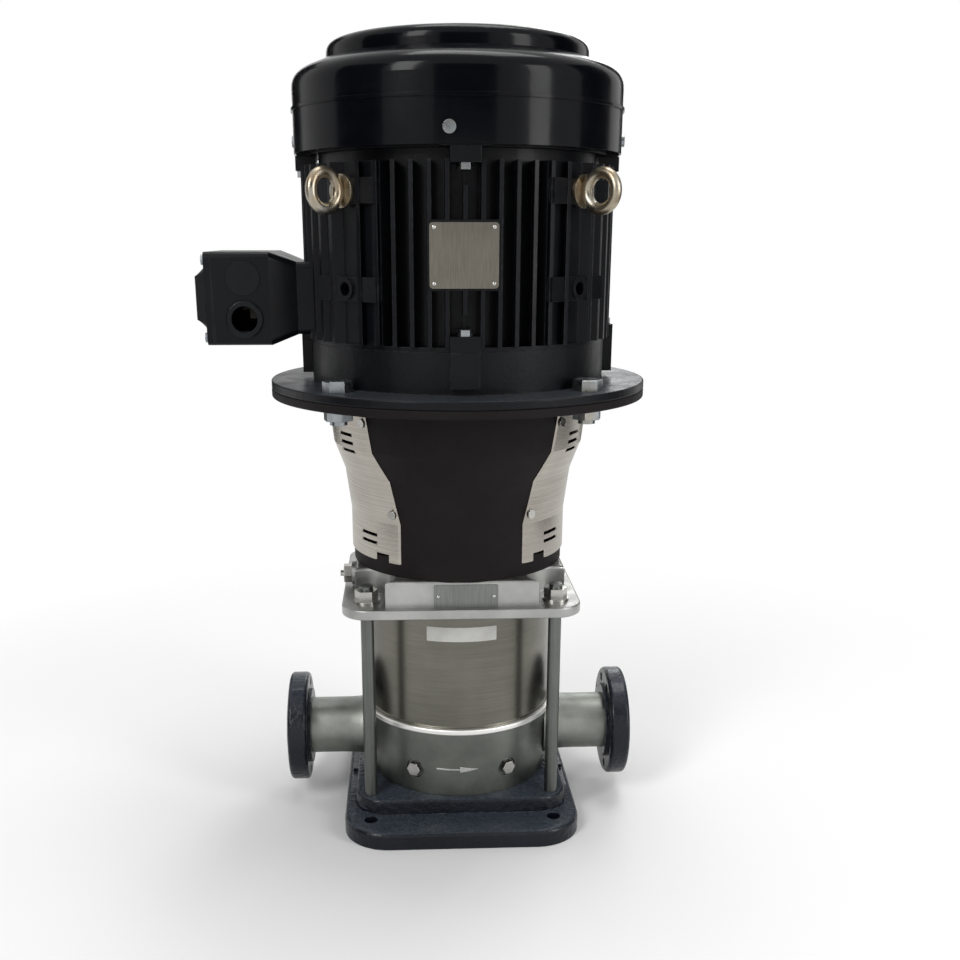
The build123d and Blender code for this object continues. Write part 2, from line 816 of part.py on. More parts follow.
def impeller(bottom, name):
    """A closed impeller: back shroud, hub, coned front shroud with its eye, backward-curved blades."""
    back = bottom + impeller_height - impeller_shroud
    tip = back - impeller_tip
    throat = bottom + eye_rise
    low = bottom + eye_rise / 2
    blade = blade_face(Plane.XY.offset(low), impeller_hub + blade_set_back,
                       impeller_radius - slip, -vane_turn, vane_thickness)
    inside = impeller_eye - impeller_shroud
    middle = impeller_shroud / 2
    channel = [(0, bottom), (inside, bottom), (impeller_radius, tip - middle),
               (impeller_radius, back + middle), (0, back + middle)]
    front = [(inside, bottom - stage_roof + eye_rise), (impeller_eye, bottom - stage_roof + eye_rise),
             (impeller_eye, throat - eye_rise), (impeller_radius, tip - impeller_shroud),
             (impeller_radius, tip), (inside, throat)]
    with BuildPart() as wheel:
        for number in range(impeller_vanes):
            extrude(turned_about(blade, 360 * number / impeller_vanes), amount=back - low + middle)
        revolve(outline(channel), axis=Axis.Z, mode=Mode.INTERSECT)
        revolve(outline(front), axis=Axis.Z)
        revolve(ring_outline(shaft_bore, impeller_radius, back, bottom + impeller_height), axis=Axis.Z)
        revolve(ring_outline(shaft_bore, impeller_hub, bottom, bottom + impeller_height), axis=Axis.Z)
    finish(wheel, name)


for number, bottom in enumerate(impeller_bottoms):
    impeller(bottom, f"impeller_{number + 1}")


# Discharge guide: a ring on the last chamber, under the head, open to the ring-shaped room
guide_top_seat = head_bottom - spigot_ring_height
with BuildPart() as discharge_guide:
    revolve(ring_outline(eye_radius, cavity_radius - slip, stack_top, stack_top + discharge_ring_height),
            axis=Axis.Z)
    revolve(ring_outline(cavity_radius - slip, spigot_ring_radius - 1, guide_top_seat - 2, guide_top_seat),
            axis=Axis.Z)
    revolve(ring_outline(cavity_radius - slip - discharge_wall, cavity_radius - slip, guide_top_seat - 2,
                         stack_top + discharge_ring_height), axis=Axis.Z)
    with BuildSketch(Plane.XY.offset(stack_top)):
        with PolarLocations((chamber_radius + cavity_radius) / 2, discharge_holes):
            Circle((cavity_radius - chamber_radius) / 2 - 1)
    extrude(amount=guide_top_seat - stack_top, mode=Mode.SUBTRACT)
finish(discharge_guide, "discharge_guide")


# Pump shaft with its spacers
seat_bottom = seal_boss_top - seal_seat_height
ring_bottom = seat_bottom - seal_ring_height - seal_face_gap
spring_bottom = ring_bottom - seal_spring_height
with BuildPart() as pump_shaft:
    revolve(ring_outline(0, shaft_radius, shaft_bottom, shaft_top), axis=Axis.Z)
    chamfer(pump_shaft.edges().filter_by(GeomType.CIRCLE), 1)
finish(pump_shaft, "pump_shaft")

spacer_spans = [(bush_bottom + bush_height + slip, impeller_bottoms[0])]
for lower, upper in zip(impeller_bottoms, impeller_bottoms[1:] + [spring_bottom]):
    spacer_spans.append((lower + impeller_height, upper))
with BuildPart() as shaft_spacers:
    for low, high in spacer_spans:
        revolve(ring_outline(shaft_bore, spacer_radius, low, high), axis=Axis.Z)
finish(shaft_spacers, "shaft_spacers")


# Mechanical seal: spring collar and ring turn with the shaft, seat and cover stand still
with BuildPart() as seal_spring:
    revolve(ring_outline(shaft_bore, seal_spring_radius, spring_bottom, spring_bottom + seal_collar_height),
            axis=Axis.Z)
    revolve(ring_outline(shaft_bore, seal_spring_radius - 2, spring_bottom, ring_bottom), axis=Axis.Z)
finish(seal_spring, "seal_spring")

with BuildPart() as seal_ring:
    revolve(ring_outline(shaft_bore, seal_ring_radius, ring_bottom, ring_bottom + seal_ring_height),
            axis=Axis.Z)
finish(seal_ring, "seal_ring")

with BuildPart() as seal_seat:
    revolve(ring_outline(shaft_radius + 1, seal_seat_radius, seat_bottom, seal_boss_top), axis=Axis.Z)
finish(seal_seat, "seal_seat")

with BuildPart() as seal_cover:
    revolve(ring_outline(shaft_radius + 1, seal_cover_radius, seal_boss_top,
                         seal_boss_top + seal_cover_height), axis=Axis.Z)
    revolve(ring_outline(seal_seat_radius + bore_gap, seal_bore - bore_gap, seat_bottom, seal_boss_top),
            axis=Axis.Z)
    with Locations((0, 0, seal_boss_top + seal_cover_height)):
        with PolarLocations(seal_cover_circle - 4, 4, start_angle=half_right):
            Hole(seal_cover_screw + slip, seal_cover_height)
    fillet(seal_cover.edges().group_by(Axis.Z)[-1].sort_by(SortBy.RADIUS)[-1], 2)
finish(seal_cover, "seal_cover")

with BuildPart() as seal_screws:
    for angle in [radians(half_right + 90 * turn) for turn in range(4)]:
        x, y = cos(angle), sin(angle)
        place = ((seal_cover_circle - 4) * x, (seal_cover_circle - 4) * y, seal_boss_top + seal_cover_height)
        with Locations(place):
            Cylinder(seal_cover_screw - bore_gap, seal_cover_height + seal_screw_depth - 1,
                     align=(Align.CENTER, Align.CENTER, Align.MAX))
            Cylinder(seal_cover_screw + 2, 4, align=(Align.CENTER, Align.CENTER, Align.MIN))
finish(seal_screws, "seal_screws")


# Coupling: two half shells clamped on the pump shaft and the motor shaft
shaft_joint = shaft_top + shaft_end_gap
screw_heights = (coupling_bottom + coupling_screw_inset, coupling_top - coupling_screw_inset)


def coupling_half(side, name):
    """A half of the clamp coupling, toward -Y for side -1."""
    with BuildPart() as half:
        revolve(outline([(shaft_radius + bore_gap, coupling_bottom), (coupling_radius, coupling_bottom),
                         (coupling_radius, coupling_top), (coupling_shaft_radius + bore_gap, coupling_top),
                         (coupling_shaft_radius + bore_gap, shaft_joint - 1),
                         (shaft_radius + bore_gap, shaft_joint - 1)]), axis=Axis.Z)
        rims = half.edges().filter_by(GeomType.CIRCLE).filter_by(lambda e: e.radius > coupling_radius - 1)
        chamfer(rims, edge_round)
        with BuildSketch(Plane.XY.offset(coupling_bottom)):
            with Locations((0, -side * (coupling_radius - coupling_split / 2))):
                Rectangle(2 * coupling_radius + 2, 2 * coupling_radius)
        extrude(amount=coupling_top - coupling_bottom, mode=Mode.SUBTRACT)
        for height in screw_heights:
            for x in (-coupling_screw_x, coupling_screw_x):
                hole = Plane(origin=(x, 0, height), z_dir=(0, side, 0))
                extrude(disc(hole, coupling_screw_radius + bore_gap), amount=coupling_radius,
                        mode=Mode.SUBTRACT)
                extrude(disc(hole.offset(coupling_screw_seat), coupling_screw_head + slip),
                        amount=coupling_radius, mode=Mode.SUBTRACT)
    finish(half, name)


coupling_half(-1, "coupling_front")
coupling_half(1, "coupling_rear")

with BuildPart() as coupling_screws:
    for height in screw_heights:
        for x in (-coupling_screw_x, coupling_screw_x):
            plane = Plane(origin=(x, coupling_screw_seat, height), z_dir=(0, -1, 0))
            extrude(disc(plane, coupling_screw_radius), amount=2 * coupling_screw_seat)
            extrude(disc(plane.offset(2 * coupling_screw_seat), coupling_screw_head),
                    amount=coupling_screw_head_height)
            extrude(hexagon(plane.offset(-coupling_screw_head_height), 2 * coupling_screw_head - edge_round),
                    amount=coupling_screw_head_height)
finish(coupling_screws, "coupling_screws")


# Motor stool: foot ring, two-step waisted shell with side windows, top flange
stool_flange_bottom = stool_top - stool_flange_height


def stool_side(shift):
    """The shell's outer line from foot to flange, moved outward by shift."""
    return [(stool_radius + shift, head_top), (stool_radius + shift, stool_step_low),
            (stool_mid_radius + shift, stool_step_mid), (stool_high_radius + shift, stool_step_high),
            (stool_top_radius + shift, stool_flange_bottom)]


def stool_radius_at(height):
    """The shell's outer radius at a height."""
    line = stool_side(0)
    for low, high in zip(line, line[1:]):
        if low[1] <= height <= high[1]:
            return low[0] + (high[0] - low[0]) * (height - low[1]) / (high[1] - low[1])
    return stool_top_radius


def guard_screw_planes(sides, shift):
    """Planes of the guard screws, facing outward, moved outward by shift."""
    planes = []
    for height in (guard_screw_low, guard_screw_high):
        radius = stool_radius_at(height)
        lean = degrees(atan2(guard_screw_y, sqrt(radius ** 2 - guard_screw_y ** 2)))
        for side in sides:
            middle = 0 if side > 0 else 180
            for turn in (-lean, lean):
                planes.append(radial_plane(middle + turn, radius + shift, height))
    return planes


with BuildPart() as motor_stool:
    revolve(outline(stool_side(0) + [(stool_flange_radius, stool_flange_bottom),
                                     (stool_flange_radius, stool_top), (0, stool_top), (0, head_top)]),
            axis=Axis.Z)
    fillet(motor_stool.edges().filter_by(GeomType.CIRCLE).filter_by(
        lambda e: stool_high_radius - 1 < e.radius < stool_top_radius + 1), stool_root_round)
    fillet(motor_stool.edges().filter_by(GeomType.CIRCLE).filter_by(
        lambda e: e.radius > stool_flange_radius - 1), edge_round)
    inner = [(x, max(z, head_top + stool_foot_height)) for x, z in stool_side(-stool_wall)]
    revolve(outline([(0, head_top + stool_foot_height)] + inner[:-1] +
                    [(stool_top_radius - stool_wall, stool_flange_bottom - stool_web),
                     (stool_bore - stool_web, stool_flange_bottom - stool_web),
                     (stool_bore - stool_web, stool_top), (0, stool_top)]), axis=Axis.Z, mode=Mode.SUBTRACT)
    extrude(disc(Plane.XY.offset(stool_top - register_depth - 1), stool_bore), amount=register_depth + 1,
            mode=Mode.SUBTRACT)
    extrude(disc(Plane.XY.offset(head_top), stool_floor_bore), amount=stool_foot_height, mode=Mode.SUBTRACT)
    window = side_plane(1, -stool_flange_radius, 0, (window_bottom + window_top) / 2)
    extrude(block(window, window_y, window_top - window_bottom, window_corner),
            amount=2 * stool_flange_radius, mode=Mode.SUBTRACT)
    with Locations((0, 0, stool_top)):
        with PolarLocations(motor_bolt_circle, 4, start_angle=half_right):
            Hole(motor_bolt_hole, stool_flange_height)
    with Locations((0, 0, head_top + stool_foot_height)):
        with GridLocations(2 * stool_screw_x, 2 * stool_screw_y, 2, 2):
            Hole(stool_screw_radius + slip, stool_foot_height)
    for plane in guard_screw_planes((-1, 1), -guard_screw_depth - 1):
        extrude(disc(plane, guard_screw_radius + bore_gap), amount=2 * guard_screw_depth, mode=Mode.SUBTRACT)
finish(motor_stool, "motor_stool")

with BuildPart() as stool_screws:
    for x, y in corners(stool_screw_x, stool_screw_y):
        place = level_plane(x, y, head_top + stool_foot_height)
        extrude(hexagon(place, stool_screw_flats), amount=stool_screw_head)
        extrude(disc(place, stool_screw_radius), amount=-stool_foot_height)
finish(stool_screws, "stool_screws")


# Coupling guards: bent sheets over the side windows, with louvres, foot notches and screws
def coupling_guard(side, name):
    """A guard on the left for side -1, on the right for side 1."""
    inside = stool_side(slip)
    outside = stool_side(slip + guard_wall)
    with BuildPart() as guard:
        revolve(outline(inside + outside[::-1]), axis=Axis.Z)
        with BuildSketch(side_plane(side, 0, 0, (guard_bottom + guard_top) / 2)):
            Rectangle(guard_y, guard_top - guard_bottom)
        extrude(amount=stool_flange_radius, mode=Mode.INTERSECT)
        with BuildSketch(side_plane(side, 0, 0, 0)):
            for count, first in ((guard_high_slots, guard_high_slot_z), (guard_low_slots, guard_low_slot_z)):
                for number in range(count):
                    for y in (-guard_slot_y, guard_slot_y):
                        with Locations((y, first + guard_slot_pitch * (number - (count - 1) / 2))):
                            Rectangle(guard_slot_length, guard_slot)
            for y in (-guard_y / 2 + guard_notch_width, guard_y / 2 - guard_notch_width):
                with Locations((y, guard_bottom)):
                    Rectangle(guard_notch_width, 2 * guard_notch)
        extrude(amount=stool_flange_radius, mode=Mode.SUBTRACT)
        for plane in guard_screw_planes((side,), 0):
            extrude(disc(plane, guard_screw_radius + slip), amount=2 * guard_wall + slip, mode=Mode.SUBTRACT)
    finish(guard, name)


coupling_guard(-1, "guard_left")
coupling_guard(1, "guard_right")

with BuildPart() as guard_screws:
    for plane in guard_screw_planes((-1, 1), guard_wall + guard_screw_seat):
        extrude(disc(plane, guard_screw_head), amount=guard_screw_head_height)
        extrude(disc(plane, guard_screw_radius), amount=-guard_screw_depth)
finish(guard_screws, "guard_screws")


# Motor flange shield: flange plate, register, drum, bearing seat and four lugs
flange_top = stool_top + motor_flange_height
lower_bearing_top = lower_bearing_bottom + bearing_width
bearing_hub = bearing_radius + bearing_housing_wall
shaft_pass = motor_shaft_radius + 1
with BuildPart() as flange_shield:
    revolve(ring_outline(shaft_pass, stool_flange_radius, stool_top, flange_top), axis=Axis.Z)
    fillet(flange_shield.edges().filter_by(GeomType.CIRCLE).filter_by(
        lambda e: e.radius > stool_flange_radius - 1), edge_round)
    revolve(ring_outline(stool_bore - slip - 2 * register_depth, stool_bore - slip,
                         stool_top - register_depth, stool_top), axis=Axis.Z)
    revolve(ring_outline(drum_radius - drum_wall, drum_radius, flange_top, drum_top), axis=Axis.Z)
    revolve(ring_outline(shaft_pass, bearing_hub, flange_top, lower_bearing_bottom), axis=Axis.Z)
    revolve(ring_outline(bearing_radius, bearing_hub, lower_bearing_bottom, lower_bearing_top), axis=Axis.Z)
    for turn in range(4):
        with BuildSketch(Plane.XY.offset(lug_low)):
            with PolarLocations(0, 1, start_angle=90 * turn):
                with Locations(((drum_radius - drum_wall + lug_radius) / 2, 0)):
                    Rectangle(lug_radius - drum_radius + drum_wall, lug_width)
        extrude(amount=drum_top - lug_low)
    with Locations((0, 0, flange_top)):
        with PolarLocations(motor_bolt_circle, 4, start_angle=half_right):
            Hole(motor_bolt_hole, motor_flange_height)
    with Locations((0, 0, drum_top)):
        with PolarLocations(lug_bolt_centre, 4):
            Hole(lug_bolt_radius + thread_gap, (drum_top - lug_low) / 2)
finish(flange_shield, "flange_shield")

with BuildPart() as flange_bolts:
    for turn in range(4):
        angle = radians(half_right + 90 * turn)
        place = level_plane(motor_bolt_circle * cos(angle), motor_bolt_circle * sin(angle), flange_top)
        extrude(hexagon(place, motor_bolt_flats), amount=motor_bolt_head)
        extrude(disc(place, motor_bolt_radius),
                amount=-(flange_top - stool_flange_bottom + motor_nut_height + motor_bolt_over))
    chamfer(flange_bolts.edges().group_by(Axis.Z)[-1], 1)
finish(flange_bolts, "flange_bolts")

with BuildPart() as flange_nuts:
    with BuildSketch(Plane.XY.offset(stool_flange_bottom)):
        with PolarLocations(motor_bolt_circle, 4, start_angle=half_right):
            RegularPolygon(motor_bolt_flats / 2, hexagon_sides, major_radius=False)
            Circle(motor_bolt_radius + bore_gap, mode=Mode.SUBTRACT)
    extrude(amount=-motor_nut_height)
finish(flange_nuts, "flange_nuts")


# Motor housing: barrel with straight fins on four sides, corner panels, pads, lugs and the box seat
def fin_rows(length_reach):
    """The centre lines of the straight fins: a count about the middle."""
    return [fin_pitch * (number - (length_reach - 1) / 2) for number in range(length_reach)]


def corner_plane(quarter, distance, height):
    """A plane on a corner panel. Quarter 0 is at the back right, and they go round to the left."""
    return radial_plane(half_right + 90 * quarter, distance, height)


def lug_ring(low, high):
    """Four lugs about the axis, as a sketch extruded between two heights."""
    with BuildSketch(Plane.XY.offset(low)) as face:
        with PolarLocations((drum_radius - drum_wall + lug_radius) / 2, 4):
            Rectangle(lug_radius - drum_radius + drum_wall, lug_width)
    return extrude(face.sketch, amount=high - low, mode=Mode.PRIVATE)


seat_plane = side_plane(-1, housing_radius - 4, 0, (box_seat_bottom + box_seat_top) / 2)
lead_plane = side_plane(-1, housing_bore - lead_hole, lead_place_y, (box_seat_bottom + box_seat_top) / 2)
plate_plane = Plane(origin=(0, -housing_radius + 4, plate_pad_height), x_dir=(1, 0, 0), z_dir=(0, -1, 0))

with BuildPart() as housing_features:
    for low, high in ((drum_top, lug_high), (top_lug_bottom, housing_top)):
        add(lug_ring(low, high))
    extrude(block(seat_plane, box_seat_y, box_seat_top - box_seat_bottom, box_corner),
            amount=box_seat - housing_radius + 4)
    extrude(block(plate_plane, plate_pad_x, plate_pad_z), amount=plate_pad_y - housing_radius + 4)
    for quarter in range(4):
        for height in (pad_low, pad_high):
            extrude(block(corner_plane(quarter, housing_radius, height), pad_width, pad_height),
                    amount=pad_distance - housing_radius)
        extrude(disc(corner_plane(quarter, pad_distance, pad_low), pad_boss_radius), amount=pad_boss)

with BuildPart() as housing_cuts:
    extrude(disc(Plane.XY.offset(drum_top), housing_bore), amount=housing_top - drum_top)
    for low, high in ((lug_high, lug_high + tool_room), (top_lug_bottom - tool_room, top_lug_bottom)):
        add(lug_ring(low, high))
    for quarter in range(4):
        for height in (pad_low, pad_high):
            extrude(disc(corner_plane(quarter, pad_distance + pad_boss, height), pad_thread_radius),
                    amount=-pad_thread_depth)
    extrude(block(lead_plane, lead_hole, lead_hole), amount=2 * lead_hole + lead_reach)
    for low, high in ((drum_top, lug_high), (top_lug_bottom, housing_top)):
        with BuildSketch(Plane.XY.offset(low)):
            with PolarLocations(lug_bolt_centre, 4):
                Circle(lug_bolt_radius + thread_gap)
        extrude(amount=high - low)

with BuildPart() as motor_housing:
    with BuildSketch(Plane.XY.offset(fin_bottom)):
        for x in fin_rows(fins_front):
            with Locations((x, 0)):
                Rectangle(fin_width, 2 * fin_radius)
        for y in fin_rows(fins_side):
            with Locations((0, y)):
                Rectangle(2 * fin_radius, fin_width)
        Circle(fin_radius, mode=Mode.INTERSECT)
        Circle(housing_radius - 1)
        with PolarLocations(0, 2, start_angle=half_right, angular_range=180):
            Rectangle(2 * panel_distance, panel_width)
    extrude(amount=fin_top - fin_bottom)
    extrude(disc(Plane.XY.offset(fin_bottom), housing_radius), amount=housing_top - fin_bottom)
    extrude(disc(Plane.XY.offset(drum_top), drum_radius), amount=fin_bottom - drum_top)
    add(housing_features.part)
    add(housing_cuts.part, mode=Mode.SUBTRACT)
finish(motor_housing, "motor_housing")


# Upper end shield, with the seats of the upper bearing and the fan cover
upper_bearing_top = upper_bearing_bottom + bearing_width
upper_shield_top = housing_top + upper_shield_height
cover_inner = cover_radius - cover_wall
with BuildPart() as upper_shield:
    revolve(ring_outline(bearing_radius, upper_shield_radius, housing_top, upper_shield_top), axis=Axis.Z)
    revolve(ring_outline(bearing_radius, bearing_hub, upper_bearing_bottom, upper_bearing_top), axis=Axis.Z)
    revolve(ring_outline(core_shaft_radius + 1, bearing_hub, upper_bearing_bottom - bearing_cap,
                         upper_bearing_bottom), axis=Axis.Z)
    for turn in range(cover_pads):
        with BuildSketch(Plane.XY.offset(housing_top)):
            with PolarLocations(0, 1, start_angle=90 * turn):
                with Locations((upper_shield_radius, 0)):
                    Rectangle(2 * (cover_inner - upper_shield_radius), cover_pad_width)
            Circle(cover_inner - slip, mode=Mode.INTERSECT)
        extrude(amount=cover_pad_top - housing_top)
    with Locations((0, 0, cover_pad_top)):
        with PolarLocations(lug_bolt_centre, 4):
            Hole(lug_bolt_radius + thread_gap, cover_pad_top - housing_top)
    for turn in range(cover_pads):
        plane = radial_plane(-90 + 90 * turn + cover_screw_turn, cover_inner, cover_pad_height)
        extrude(disc(plane, cover_screw_radius + thread_gap), amount=-cover_screw_depth - 1,
                mode=Mode.SUBTRACT)
finish(upper_shield, "upper_shield")

# Lug bolts: four up from the flange shield's lugs, four down from the upper shield's
lower_bolt_length = lug_high - lug_low - (drum_top - lug_low) / 2
upper_bolt_length = housing_top - top_lug_bottom + upper_shield_height
with BuildPart() as lug_bolts:
    for turn in range(4):
        angle = radians(90 * turn)
        x = lug_bolt_centre * cos(angle)
        y = lug_bolt_centre * sin(angle)
        low = level_plane(x, y, lug_high)
        extrude(hexagon(low, lug_bolt_flats), amount=lug_bolt_head)
        extrude(disc(low, lug_bolt_radius), amount=-lower_bolt_length)
        high = level_plane(x, y, top_lug_bottom)
        extrude(hexagon(high, lug_bolt_flats), amount=-lug_bolt_head)
        extrude(disc(high, lug_bolt_radius), amount=upper_bolt_length - 1)
finish(lug_bolts, "lug_bolts")


# Stator core and its end windings
with BuildPart() as stator_core:
    revolve(ring_outline(stator_bore, housing_bore - bore_gap, stator_bottom, stator_top), axis=Axis.Z)
finish(stator_core, "stator_core")

with BuildPart() as stator_windings:
    revolve(ring_outline(winding_inner, winding_outer, stator_bottom - winding_height, stator_bottom),
            axis=Axis.Z)
    revolve(ring_outline(winding_inner, winding_outer, stator_top, stator_top + winding_height), axis=Axis.Z)
    fillet(stator_windings.edges().group_by(Axis.Z)[0], winding_round)
    fillet(stator_windings.edges().group_by(Axis.Z)[-1], winding_round)
finish(stator_windings, "stator_windings")


# Rotor core with its end rings, and the stepped motor shaft
rotor_radius = stator_bore - air_gap
rotor_bottom = stator_bottom - rotor_overhang
rotor_top = stator_top + rotor_overhang
with BuildPart() as rotor_core:
    revolve(outline([(core_shaft_radius + bore_gap, rotor_bottom), (rotor_ring_inner, rotor_bottom),
                     (rotor_ring_inner, rotor_bottom - rotor_ring_height),
                     (rotor_radius, rotor_bottom - rotor_ring_height),
                     (rotor_radius, rotor_top + rotor_ring_height),
                     (rotor_ring_inner, rotor_top + rotor_ring_height), (rotor_ring_inner, rotor_top),
                     (core_shaft_radius + bore_gap, rotor_top)]), axis=Axis.Z)
finish(rotor_core, "rotor_core")

with BuildPart() as motor_shaft:
    revolve(outline([(0, shaft_joint), (coupling_shaft_radius, shaft_joint),
                     (coupling_shaft_radius, coupling_shaft_top), (motor_shaft_radius, coupling_shaft_top),
                     (motor_shaft_radius, lower_bearing_top), (core_shaft_radius, lower_bearing_top),
                     (core_shaft_radius, upper_bearing_bottom), (motor_shaft_radius, upper_bearing_bottom),
                     (motor_shaft_radius, upper_bearing_top + slip),
                     (fan_shaft_radius, upper_bearing_top + slip),
                     (fan_shaft_radius, motor_shaft_top), (0, motor_shaft_top)]), axis=Axis.Z)
finish(motor_shaft, "motor_shaft")


# Sealed bearings: outer races with their shields stand still, inner races turn
inner_race = motor_shaft_radius + bearing_race
outer_race = bearing_radius - bearing_race
race_bottoms = (lower_bearing_bottom, upper_bearing_bottom)
with BuildPart() as bearing_outer_races:
    for bottom in race_bottoms:
        revolve(ring_outline(inner_race + slip, bearing_radius - bore_gap, bottom, bottom + bearing_width),
                axis=Axis.Z)
        revolve(ring_outline(inner_race + slip, outer_race, bottom + 1, bottom + bearing_width - 1),
                axis=Axis.Z, mode=Mode.SUBTRACT)
finish(bearing_outer_races, "bearing_outer_races")

with BuildPart() as bearing_inner_races:
    for bottom in race_bottoms:
        revolve(ring_outline(motor_shaft_radius + bore_gap, inner_race, bottom, bottom + bearing_width),
                axis=Axis.Z)
finish(bearing_inner_races, "bearing_inner_races")


# Cooling fan: hub, plate and straight radial blades
with BuildPart() as cooling_fan:
    revolve(ring_outline(fan_shaft_radius + bore_gap, fan_hub_radius, fan_bottom,
                         fan_bottom + fan_hub_height), axis=Axis.Z)
    revolve(ring_outline(fan_hub_radius - 1, fan_plate_radius, fan_bottom, fan_bottom + fan_plate),
            axis=Axis.Z)
    with BuildSketch(Plane.XY.offset(fan_bottom)):
        with PolarLocations(0, fan_blades):
            with Locations(((fan_hub_radius + fan_radius) / 2, 0)):
                Rectangle(fan_radius - fan_hub_radius + 1, fan_blade_width)
    extrude(amount=fan_blade_height)
finish(cooling_fan, "cooling_fan")


# Fan cover: rolled skirt with its bead, sloped shoulder and raised crown with the air grille
def cover_section(wall):
    """The cover's half section as a solid of revolution, shrunk by a wall."""
    side = cover_radius - wall
    shoulder = (side, cover_shoulder - wall)
    crown_low = (crown_foot_radius - wall, crown_foot - wall)
    crown_edge = (crown_radius - wall, crown_foot - wall)
    crown_high = (crown_radius - wall, crown_side - wall)
    crown_top = (crown_top_radius - wall, cover_top - 2 - wall)
    with BuildSketch(Plane.XZ) as face:
        with BuildLine():
            Line((0, cover_bottom), (side, cover_bottom))
            Line((side, cover_bottom), shoulder)
            Spline(shoulder, crown_low, tangents=[(0, 1), (-1, crown_lean)])
            Line(crown_low, crown_edge)
            Line(crown_edge, crown_high)
            Spline(crown_high, crown_top, tangents=[(0, 1), (-1, crown_top_lean)])
            Line(crown_top, (0, cover_top - wall))
            Line((0, cover_top - wall), (0, cover_bottom))
        make_face()
    return face.sketch


with BuildPart() as fan_cover:
    revolve(cover_section(0), axis=Axis.Z)
    revolve(ring_outline(cover_radius - 1, cover_radius + cover_bead_out, cover_bead_low,
                         cover_bead_low + cover_bead), axis=Axis.Z)
    revolve(cover_section(cover_wall), axis=Axis.Z, mode=Mode.SUBTRACT)
    with BuildSketch(Plane.XY.offset(crown_side)):
        for ring in range(grille_rings):
            middle = grille_first + grille_pitch * ring
            with PolarLocations(middle, grille_slots * (ring + 1)):
                Rectangle(grille_pitch - grille_web, grille_slot)
    extrude(amount=cover_top, mode=Mode.SUBTRACT)
    for turn in range(cover_pads):
        plane = radial_plane(-90 + 90 * turn + cover_screw_turn, cover_inner - 1, cover_pad_height)
        extrude(disc(plane, cover_screw_radius + slip), amount=2 * cover_wall + slip, mode=Mode.SUBTRACT)
finish(fan_cover, "fan_cover")

with BuildPart() as cover_screws:
    for turn in range(cover_pads):
        plane = radial_plane(-90 + 90 * turn + cover_screw_turn, cover_radius, cover_pad_height)
        extrude(disc(plane, cover_screw_head), amount=cover_screw_head_height)
        extrude(disc(plane, cover_screw_radius), amount=-cover_screw_depth)
finish(cover_screws, "cover_screws")


# Lifting eyebolts in the two front upper pads
with BuildPart() as lifting_eyes:
    for quarter in front_quarters:
        seat = corner_plane(quarter, pad_distance, pad_high)
        extrude(disc(seat, eye_collar_radius), amount=eye_collar)
        extrude(disc(seat, eye_shank_radius), amount=-eye_shank)
        middle = seat.offset(eye_collar + eye_ring_radius + eye_ring_section - 2)
        with BuildSketch(Plane(origin=middle.origin, x_dir=middle.z_dir, z_dir=-middle.y_dir)):
            with Locations((-eye_ring_radius, 0)):
                Circle(eye_ring_section)
        revolve(axis=Axis(middle.origin, middle.x_dir))
finish(lifting_eyes, "lifting_eyes")


# Cable box: neck and body, gasket, crowned lid, entry ring, blank plug and terminal block
box_height = box_top - box_bottom
box_middle = (box_top + box_bottom) / 2
seat_middle = (box_seat_bottom + box_seat_top) / 2
seat_height = box_seat_top - box_seat_bottom
with BuildPart() as cable_box:
    loft([block(side_plane(-1, box_seat, 0, seat_middle), box_seat_y, seat_height, box_corner).face(),
          block(side_plane(-1, box_inner_x, 0, box_middle), box_y, box_height, box_corner).face()])
    extrude(block(side_plane(-1, box_inner_x, 0, box_middle), box_y, box_height, box_corner),
            amount=box_outer_x - box_inner_x)
    extrude(block(side_plane(-1, box_inner_x, 0, box_middle), box_y - 2 * box_wall, box_height - 2 * box_wall,
                  box_corner / 2), amount=box_outer_x, mode=Mode.SUBTRACT)
    extrude(block(side_plane(-1, box_seat - 1, lead_place_y, seat_middle), lead_hole, lead_hole),
            amount=box_outer_x, mode=Mode.SUBTRACT)
    lid_screw_y = box_y / 2 - lid_screw_inset
    lid_screw_z = box_height / 2 - lid_screw_inset
    for y, z in corners(lid_screw_y, lid_screw_z):
        post = side_plane(-1, box_inner_x, y, box_middle + z)
        extrude(disc(post, lid_post_radius), amount=box_outer_x - box_inner_x)
        hole = side_plane(-1, box_outer_x, y, box_middle + z)
        extrude(disc(hole, lid_screw_radius + thread_gap), amount=-lid_screw_depth, mode=Mode.SUBTRACT)
    for height, radius in ((entry_low, entry_seat_radius), (entry_high, blank_stem_radius)):
        front = Plane(origin=(-entry_x, -box_y / 2 - 1, height), z_dir=(0, 1, 0))
        extrude(disc(front, radius), amount=box_wall + 2, mode=Mode.SUBTRACT)
finish(cable_box, "cable_box")

with BuildPart() as entry_ring:
    front = Plane(origin=(-entry_x, -box_y / 2, entry_low), z_dir=(0, -1, 0))
    extrude(disc(front, entry_ring_radius), amount=entry_ring_out)
    fillet(entry_ring.edges().sort_by(Axis.Y)[0], edge_round)
    extrude(disc(front, entry_seat_radius - bore_gap), amount=-box_wall)
    extrude(disc(front.offset(entry_ring_out), entry_hole_radius), amount=-box_wall - entry_ring_out,
            mode=Mode.SUBTRACT)
finish(entry_ring, "entry_ring")

with BuildPart() as blank_plug:
    front = Plane(origin=(-entry_x, -box_y / 2, entry_high), z_dir=(0, -1, 0))
    extrude(disc(front, blank_radius), amount=blank_out)
    extrude(disc(front, blank_stem_radius - bore_gap), amount=-box_wall)
finish(blank_plug, "blank_plug")

